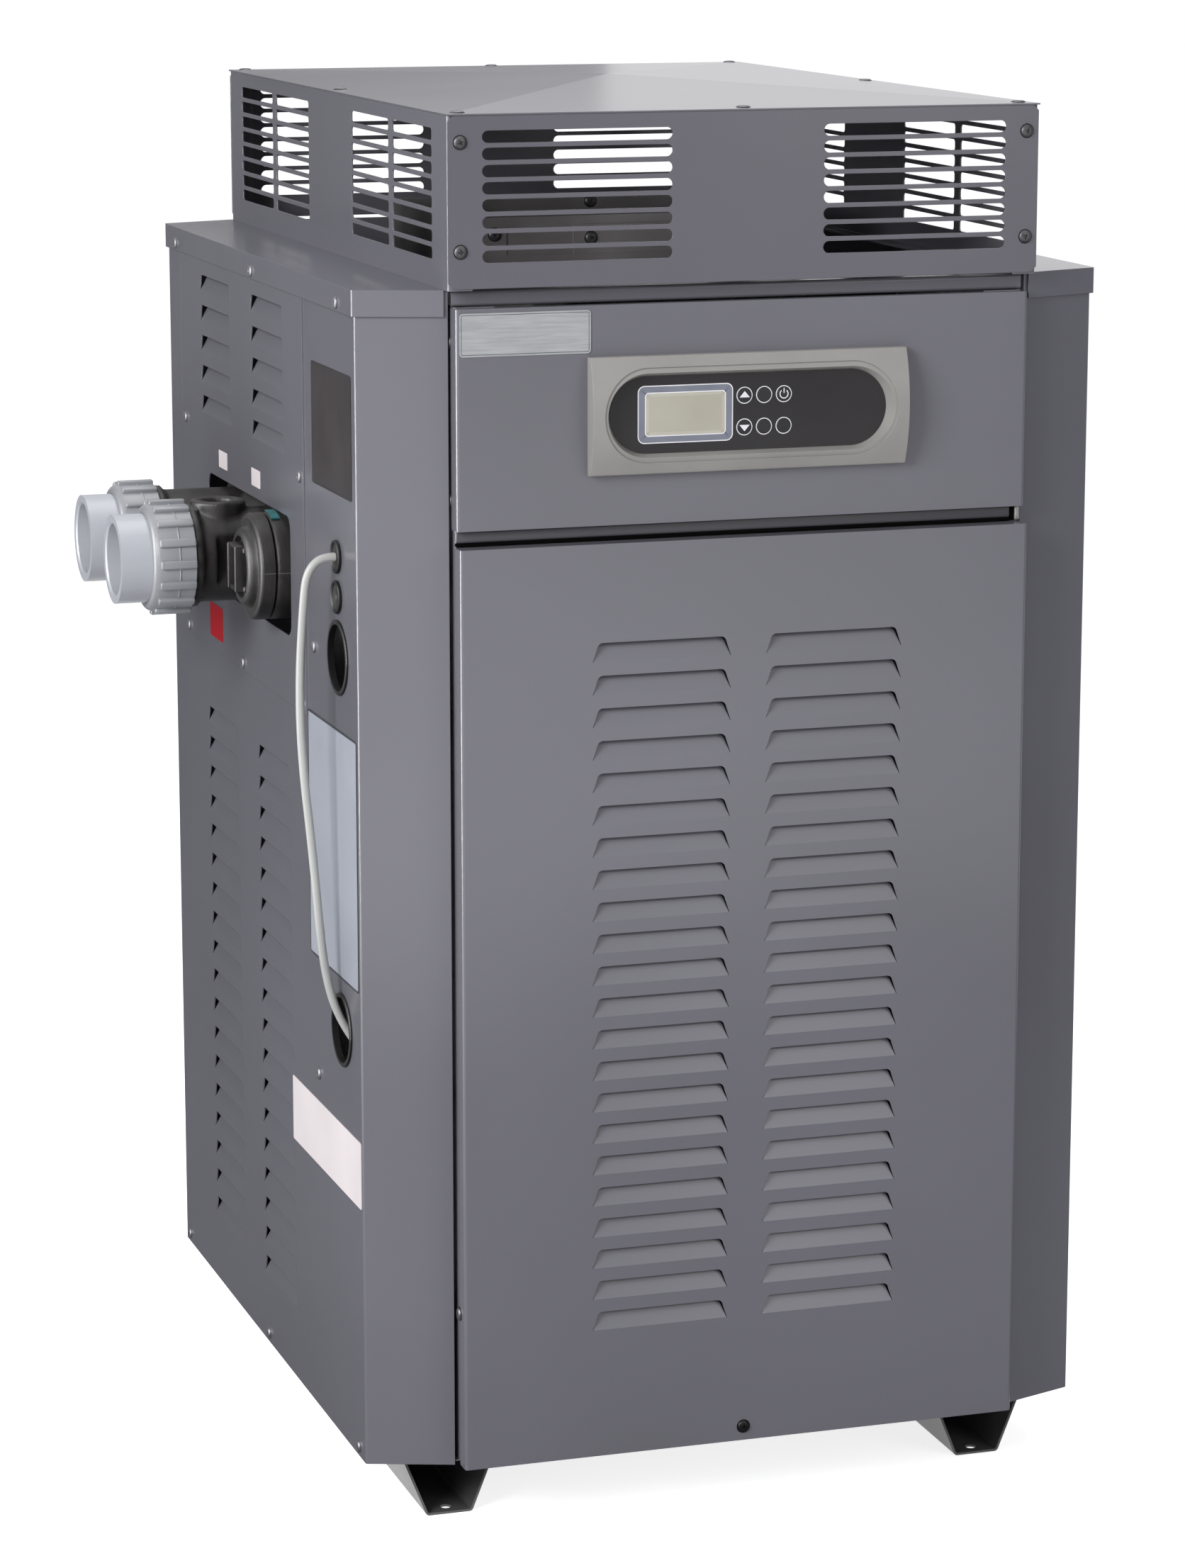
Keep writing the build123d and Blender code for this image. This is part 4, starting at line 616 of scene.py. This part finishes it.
def screw_set(name, places, material, body, replaced):
    """One piece made of pan heads; each place is a foot point and the way the head looks.
    All but the bare zinc heads stand on a thin black disc, painted shadow round the head."""
    bm = bmesh.new()
    for number, (point, way) in enumerate(places):
        one = bmesh.new()
        one.from_mesh(low_head if way[2] else small_head)
        # A thin black disc under each head is painted shadow round its rim.
        if material is not screw_zinc:
            shadow_ring = bmesh.ops.create_cone(one, cap_ends=True, segments=24, radius1=shadow_ring_r,
                                           radius2=shadow_ring_r - 0.0002, depth=0.0004)["verts"]
            for face in {face for vert in shadow_ring for face in vert.link_faces}:
                face.material_index = 1
        aim = Vector(way).to_track_quat("Z", "Y").to_matrix().to_4x4()
        turn = Matrix.Rotation(radians(37 * number), 4, "Z")
        bmesh.ops.transform(one, verts=one.verts, matrix=Matrix.Translation(point) @ aim @ turn)
        placed = bpy.data.meshes.new("placed")
        one.to_mesh(placed)
        one.free()
        bm.from_mesh(placed)
        bpy.data.meshes.remove(placed)
    piece = new_piece(name, bm, material, screw_black_and_shadow)
    smooth_shaded(piece, 30)
    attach(piece, body)
    if replaced:
        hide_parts(replaced)


shadow_ring_r = 0.0060
head_r = 0.0052
small_head = pan_head(head_r, 0.0022)
low_head = pan_head(head_r, 0.0012)
screw_zinc = grained("screw_zinc", (92, 91, 95), (116, 115, 119), patch=160, gloss=(0.34, 0.46), grain=900,
                     relief=0.00002, metal=0.45)
screw_dark = grained("screw_dark", (74, 73, 76), (98, 97, 100), patch=160, gloss=(0.32, 0.45), grain=900,
                     relief=0.00002, metal=0.5)
# Black for the door's own screw, and for the discs of painted shadow under the heads.
screw_black_and_shadow = grained("screw_black_and_shadow", (20, 20, 21), (34, 33, 35), patch=160, gloss=(0.35, 0.45), grain=900,
                      relief=0.00002, metal=0.3)

up = (0, 0, 1)
ahead = (0, -1, 0)
back = (0, 1, 0)
left = (-1, 0, 0)
hood_x = 0.2357
hood_places = [((x, y, z), up) for y, z in ((-0.3515, 1.15346), (0.3405, 1.15335))
               for x in (-0.2337, 0, 0.2337)]
hood_places += [((x, -0.0075, 1.15349), up) for x in (-hood_x, hood_x)]
for x in (-hood_x, hood_x):
    for z in (1.1311, 1.0471):
        hood_places += [((x, -0.3655, z), ahead), ((x, 0.3505, z), back)]
screw_set("hood_screw_heads", hood_places, screw_dark, "cabinet", "hood_screws")

side_x = 0.311
access_places = ((0.262, 0.658), (0.0545, 0.658), (-0.153, 0.658), (-0.153, 0.84835), (0.262, 0.84835))
case_places = [((-side_x - 0.0012, y, z), left) for y, z in access_places]
case_places += [((-side_x, -0.190, z), left) for z in (0.7132, 0.3526)]
for side in (-1, 1):
    for low_y, lid_y in ((-0.3065, -0.28198), (0, 0), (0.3105, 0.28566)):
        case_places += [((side * side_x, low_y, 0.0654), (side, 0, 0)),
                        ((side * (side_x + 0.0027), lid_y, 1.0029), (side, 0, 0))]
    case_places += [((side * 0.2395, -0.3450, z), (side, 0, 0)) for z in (0.8519, 0.9759)]
screw_set("case_screw_heads", case_places, screw_zinc, "cabinet", "case_screws")

flue_places = [((-0.1233, -0.0811, 1.0347), ahead), ((-0.0385, -0.0811, 1.0301), ahead),
               ((0.0316, 0.1388, 1.0430), ahead)]
screw_set("flue_screws", flue_places, screw_dark, "cabinet", None)


# Grommets: black rubber spools snapped into the left panel. The upper small one closes
# round the cable, the one below is blank, and the two large ones are open entries.
grommet_black = grained("grommet_black", (16, 16, 17), (26, 25, 27), patch=60, gloss=(0.42, 0.52),
                        grain=500, relief=0.00003, shine=0.3)
dress(grommet_black, "entry_grommets")
grommet_y = -0.268
rim_faces = [(-0.3060, 0.0124), (-0.3088, 0.0124), (-0.3096, 0.0106), (-0.3111, 0.0106),
             (-0.3112, 0.0128), (-0.3120, 0.0135), (-0.3134, 0.0135), (-0.3141, 0.0129),
             (-0.3142, 0.0121), (-0.3136, 0.0112), (-0.3124, 0.0104), (-0.3122, 0.0085)]
bore_faces = [(-0.3130, 0.0056), (-0.3130, 0.0044), (-0.3124, 0.0036), (-0.3060, 0.0036)]
web_faces = [(-0.3122, 0.0032), (-0.3114, 0.0022), (-0.3114, 0)]
bm = lathe([(-0.3060, 0.0036), *rim_faces, *bore_faces], grommet_y, 0.799, steps=40)
blank = lathe([(-0.3060, 0), *rim_faces, *web_faces], grommet_y, 0.7665, steps=40)
spare = bpy.data.meshes.new("spare")
blank.to_mesh(spare)
blank.free()
bm.from_mesh(spare)
bpy.data.meshes.remove(spare)
small_spools = new_piece("small_spools", bm, grommet_black)
smooth_shaded(small_spools, 40)
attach(small_spools, "cabinet")
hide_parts("small_grommets")


# Plates and tags on the left side: printed foil stuck to the paint, left blank here. The
# upper one is dark with a black border, the long one pale with a dark border.
def stuck_plate(name, x, y_low, y_high, z_low, z_high, corner, border, face_colour, edge_colour):
    """Thin plate on the left side, with rounded corners and a border of its own colour."""
    bm = bmesh.new()
    corners = bmesh.ops.create_cube(bm, size=1)["verts"]
    bmesh.ops.scale(bm, verts=corners, vec=(0.0004, y_high - y_low, z_high - z_low))
    along = [edge for edge in bm.edges if abs(edge.verts[0].co.x - edge.verts[1].co.x) > 0.0002]
    bmesh.ops.bevel(bm, geom=along, offset=corner, affect="EDGES", segments=5, profile=0.5, material=-1)
    bmesh.ops.translate(bm, verts=bm.verts, vec=(x - 0.0001, (y_low + y_high) / 2, (z_low + z_high) / 2))
    bmesh.ops.recalc_face_normals(bm, faces=bm.faces)
    front = [face for face in bm.faces if face.normal.x < -0.9]
    bmesh.ops.inset_region(bm, faces=front, thickness=border, depth=0, use_even_offset=True)
    for face in bm.faces:
        face.material_index = 1
    for face in front:
        face.material_index = 0
    plate = new_piece(name, bm, face_colour, edge_colour)
    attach(plate, "cabinet")


plate_dark = grained("plate_dark", (50, 46, 48), (58, 54, 56), patch=24, gloss=(0.4, 0.5), grain=600,
                     relief=0.00001, shine=0.12)
plate_black = grained("plate_black", (26, 26, 28), (36, 36, 38), patch=40, gloss=(0.4, 0.5), grain=600,
                      relief=0.00001, shine=0.25)
plate_pale = grained("plate_pale", (150, 154, 164), (161, 165, 175), patch=9, gloss=(0.4, 0.5), grain=600,
                     relief=0.00001, shine=0.25)
plate_edge = grained("plate_edge", (46, 48, 56), (58, 60, 68), patch=40, gloss=(0.4, 0.5), grain=600,
                     relief=0.00001, shine=0.25)
label_white = grained("label_white", (220, 212, 213), (228, 220, 221), patch=12, gloss=(0.5, 0.6),
                      grain=600, relief=0.00001, shine=0.1)
label_red = grained("label_red", (158, 16, 28), (170, 20, 33), patch=20, gloss=(0.5, 0.6), grain=600,
                    relief=0.00001, shine=0.08)
panel_face = -0.3111
access_face = -0.3123
stuck_plate("upper_plate", panel_face, -0.315, -0.191, 0.849, 0.948, 0.003, 0.0018, plate_dark, plate_black)
stuck_plate("long_plate", panel_face, -0.321, -0.167, 0.452, 0.658, 0.003, 0.0018, plate_pale, plate_edge)
stuck_plate("white_label", panel_face, -0.322, -0.099, 0.272, 0.328, 0.002, 0.0008, label_white, label_white)
for name, tag_y in (("near_tag", -0.0015), ("far_tag", 0.119)):
    stuck_plate(name, access_face, tag_y - 0.015, tag_y + 0.015, 0.8195, 0.8345, 0.0008, 0.0004, label_white,
                label_white)
stuck_plate("red_tag", access_face, 0.1305, 0.1775, 0.663, 0.693, 0.001, 0.0005, label_red, label_red)


# Front door: a folded steel pan with 44 louvres pressed inwards in two columns. It hooks
# over the frame, and one black screw at the foot holds it.
door_grey = grained("door_grey", (106, 105, 112), (111, 110, 118), patch=3.2, gloss=(0.18, 0.23),
                    grain=700, relief=0.000006)
dress(door_grey, "door")
screw_set("door_screw_head", [((0, -0.3731, 0.0718), ahead)], screw_black_and_shadow, "front_door", "door_screw")
screw_set("door_flange_screw", [((-0.2395, -0.3585, 0.1887), left)], screw_dark, "front_door", None)


# Control panel: a folded pan above the door, screwed to the posts through its sides. A
# blank aluminium plate is stuck to its upper left corner.
dress(door_grey, "control_panel")
badge_metal = grained("badge_metal", (176, 178, 180), (196, 198, 200), patch=40, gloss=(0.28, 0.36),
                      grain=900, relief=0.00002, metal=0.8, stretch=(1, 1, 18))
badge_line = grained("badge_line", (70, 74, 82), (84, 88, 96), patch=40, gloss=(0.3, 0.4), grain=900,
                     relief=0.00001)
badge_front = -0.3652
badge_thick = 0.0008
bm = bmesh.new()
corners = bmesh.ops.create_cube(bm, size=1)["verts"]
bmesh.ops.scale(bm, verts=corners, vec=(0.107, badge_thick, 0.0339))
along = [edge for edge in bm.edges if abs(edge.verts[0].co.y - edge.verts[1].co.y) > badge_thick / 2]
bmesh.ops.bevel(bm, geom=along, offset=0.0028, affect="EDGES", segments=6, profile=0.5, material=-1)
bmesh.ops.translate(bm, verts=bm.verts, vec=(-0.1835, badge_front + badge_thick / 2, 0.98255))
bmesh.ops.recalc_face_normals(bm, faces=bm.faces)
front = [face for face in bm.faces if face.normal.y < -0.9]
bmesh.ops.inset_region(bm, faces=front, thickness=0.0013, depth=0, use_even_offset=True)
line = bmesh.ops.inset_region(bm, faces=front, thickness=0.0005, depth=0, use_even_offset=True)["faces"]
for face in line:
    face.material_index = 1
blank_badge = new_piece("blank_badge", bm, badge_metal, badge_line)
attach(blank_badge, "cabinet")


# Controller bezel: injection moulded, with a crowned face, a tapered pocket for the
# overlay and a satin champagne lacquer.
bezel_lacquer = grained("bezel_lacquer", (147, 145, 142), (155, 153, 150), patch=18, gloss=(0.38, 0.46),
                        grain=1200, relief=0.00001, metal=0.08, shine=0.3, edge=0.0009)
dress(bezel_lacquer, "controller_bezel")


# Overlay: a glossy black polycarbonate film in the pocket. The white lines round the
# display and the keys are printed on it, and a grey band frames the display.
overlay_black = grained("overlay_black", (34, 31, 33), (38, 35, 37), patch=20, gloss=(0.16, 0.2),
                        grain=800, relief=0.000004)
print_white = grained("print_white", (222, 222, 226), (232, 232, 236), patch=60, gloss=(0.35, 0.4),
                      grain=800, relief=0.000004)
print_grey = grained("print_grey", (116, 119, 132), (124, 127, 140), patch=60, gloss=(0.3, 0.36),
                     grain=800, relief=0.000004)
dress(overlay_black, "controller_overlay")


def printed_band(bm, x, z, width, height, corner, stroke):
    """Adds a flat frame with rounded corners to a bmesh, in the plane y = 0."""
    before = set(bm.faces)
    grid = bmesh.ops.create_grid(bm, x_segments=1, y_segments=1, size=0.5)["verts"]
    bmesh.ops.scale(bm, verts=grid, vec=(width, height, 1))
    bmesh.ops.rotate(bm, verts=grid, cent=(0, 0, 0), matrix=Matrix.Rotation(pi / 2, 3, "X"))
    bmesh.ops.translate(bm, verts=grid, vec=(x, 0, z))
    bmesh.ops.bevel(bm, geom=grid, offset=corner, affect="VERTICES", segments=8, profile=0.5, material=-1)
    whole = [face for face in bm.faces if face not in before]
    bmesh.ops.inset_region(bm, faces=whole, thickness=stroke, depth=0, use_boundary=True,
                           use_even_offset=True)
    bmesh.ops.delete(bm, geom=whole, context="FACES_ONLY")


def printed(name, bm, y, thick, material, body):
    """Lays flat print on a surface at y and gives it the film's thickness."""
    bmesh.ops.translate(bm, verts=bm.verts, vec=(0, y, 0))
    flat = list(bm.faces)
    bmesh.ops.recalc_face_normals(bm, faces=flat)
    for face in flat:
        if face.normal.y > 0:
            face.normal_flip()
    bmesh.ops.solidify(bm, geom=flat, thickness=thick)
    bmesh.ops.recalc_face_normals(bm, faces=bm.faces)
    piece = new_piece(name, bm, material)
    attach(piece, body)


overlay_face = -0.3695
window_x = -0.0531
window_z = 0.9159
key_columns = (-0.0038, 0.0127, 0.0293)
key_rows = (0.9285, 0.9033)
key_ring = 0.0135
bm = bmesh.new()
printed_band(bm, window_x, window_z, 0.0794, 0.0458, corner=0.0055, stroke=0.0008)
printed_band(bm, window_x, window_z, 0.0675, 0.0348, corner=0.0030, stroke=0.0008)
for x in key_columns:
    for z in key_rows:
        printed_band(bm, x, z, key_ring, key_ring, corner=key_ring / 2 - 0.00001, stroke=0.0007)
printed("white_lines", bm, overlay_face - 0.00006, 0.00005, print_white, "cabinet")
bm = bmesh.new()
printed_band(bm, window_x, window_z, 0.0784, 0.0448, corner=0.0050, stroke=0.0054)
printed("display_surround", bm, overlay_face - 0.00003, 0.00003, print_grey, "cabinet")


# Display: a grey-green liquid crystal behind its clear window. A paler margin round the
# window's edge, inside the white line, is painted light that stands for the lit bevel round the sunk window.
display_pale = grained("display_pale", (168, 164, 150), (180, 176, 163), patch=14, gloss=(0.18, 0.24),
                       grain=900, relief=0.000004)
# Paler margin: painted light on the window's bevel.
bevel_light_pale = grained("bevel_light_pale", (178, 174, 162), (188, 184, 173), patch=14, gloss=(0.2, 0.26),
                      grain=900, relief=0.000004)
dress(display_pale, "display_window")
bm = bmesh.new()
printed_band(bm, window_x, window_z, 0.0661, 0.0334, corner=0.0022, stroke=0.0026)
printed("window_bevel_light", bm, overlay_face - 0.00003, 0.00002, bevel_light_pale, "cabinet")


# Circuit board: glass-fibre sheet in green solder mask, screwed to the bezel's bosses
# behind the keys and the display.
board_green = grained("board_green", (28, 74, 44), (38, 92, 56), patch=60, gloss=(0.34, 0.44), grain=800,
                      relief=0.00003)
dress(board_green, "circuit_board")


# Keys: six black rubber caps that press on the board's switches. The white arrows and the
# standby sign are printed on three of them.
key_black = grained("key_black", (30, 28, 30), (38, 36, 38), patch=80, gloss=(0.4, 0.5), grain=900,
                    relief=0.00001)
dress(key_black, "key_up", "key_mode", "key_power", "key_down", "key_program", "key_aux")
key_print = -0.37012
for name, body, z, turn in (("arrow_up", "key_up_cap", key_rows[0], 0),
                            ("arrow_down", "key_down_cap", key_rows[1], pi)):
    bm = bmesh.new()
    three = bmesh.ops.create_circle(bm, cap_ends=True, segments=3, radius=0.0045)["verts"]
    bmesh.ops.rotate(bm, verts=three, cent=(0, 0, 0), matrix=Matrix.Rotation(pi / 2, 3, "X"))
    bmesh.ops.rotate(bm, verts=three, cent=(0, 0, 0), matrix=Matrix.Rotation(turn, 3, "Y"))
    bmesh.ops.scale(bm, verts=three, vec=(1.1, 1, 0.75))
    bmesh.ops.translate(bm, verts=three, vec=(key_columns[0], 0, z))
    printed(name, bm, key_print, 0.00003, print_white, body)
bm = bmesh.new()
arc_start = radians(38)
ends = [bm.verts.new((radius * sin(arc_start), 0, radius * cos(arc_start))) for radius in (0.0030, 0.0038)]
edge = bm.edges.new(ends)
bmesh.ops.spin(bm, geom=[*ends, edge], cent=(0, 0, 0), axis=(0, 1, 0), angle=radians(284), steps=28)
stem = bmesh.ops.create_grid(bm, x_segments=1, y_segments=1, size=0.5)["verts"]
bmesh.ops.scale(bm, verts=stem, vec=(0.0008, 0.0040, 1))
bmesh.ops.rotate(bm, verts=stem, cent=(0, 0, 0), matrix=Matrix.Rotation(pi / 2, 3, "X"))
bmesh.ops.translate(bm, verts=stem, vec=(0, 0, 0.0027))
bmesh.ops.translate(bm, verts=bm.verts, vec=(key_columns[2], 0, key_rows[0]))
printed("standby_sign", bm, key_print, 0.00003, print_white, "key_power_cap")


# Control box: a zinc-coated tray under the top rail, with the transformer on its floor and
# the potted ignition module on its rear wall.
transformer_iron = grained("transformer_iron", (62, 60, 60), (92, 88, 84), patch=50, gloss=(0.4, 0.55),
                           grain=500, relief=0.00006, metal=0.5, stretch=(14, 1, 1))
module_black = grained("module_black", (30, 31, 34), (42, 43, 47), patch=50, gloss=(0.38, 0.5), grain=700,
                       relief=0.00003)
dress(zinc_sheet, "control_box")
dress(transformer_iron, "transformer")
dress(module_black, "ignition_module")
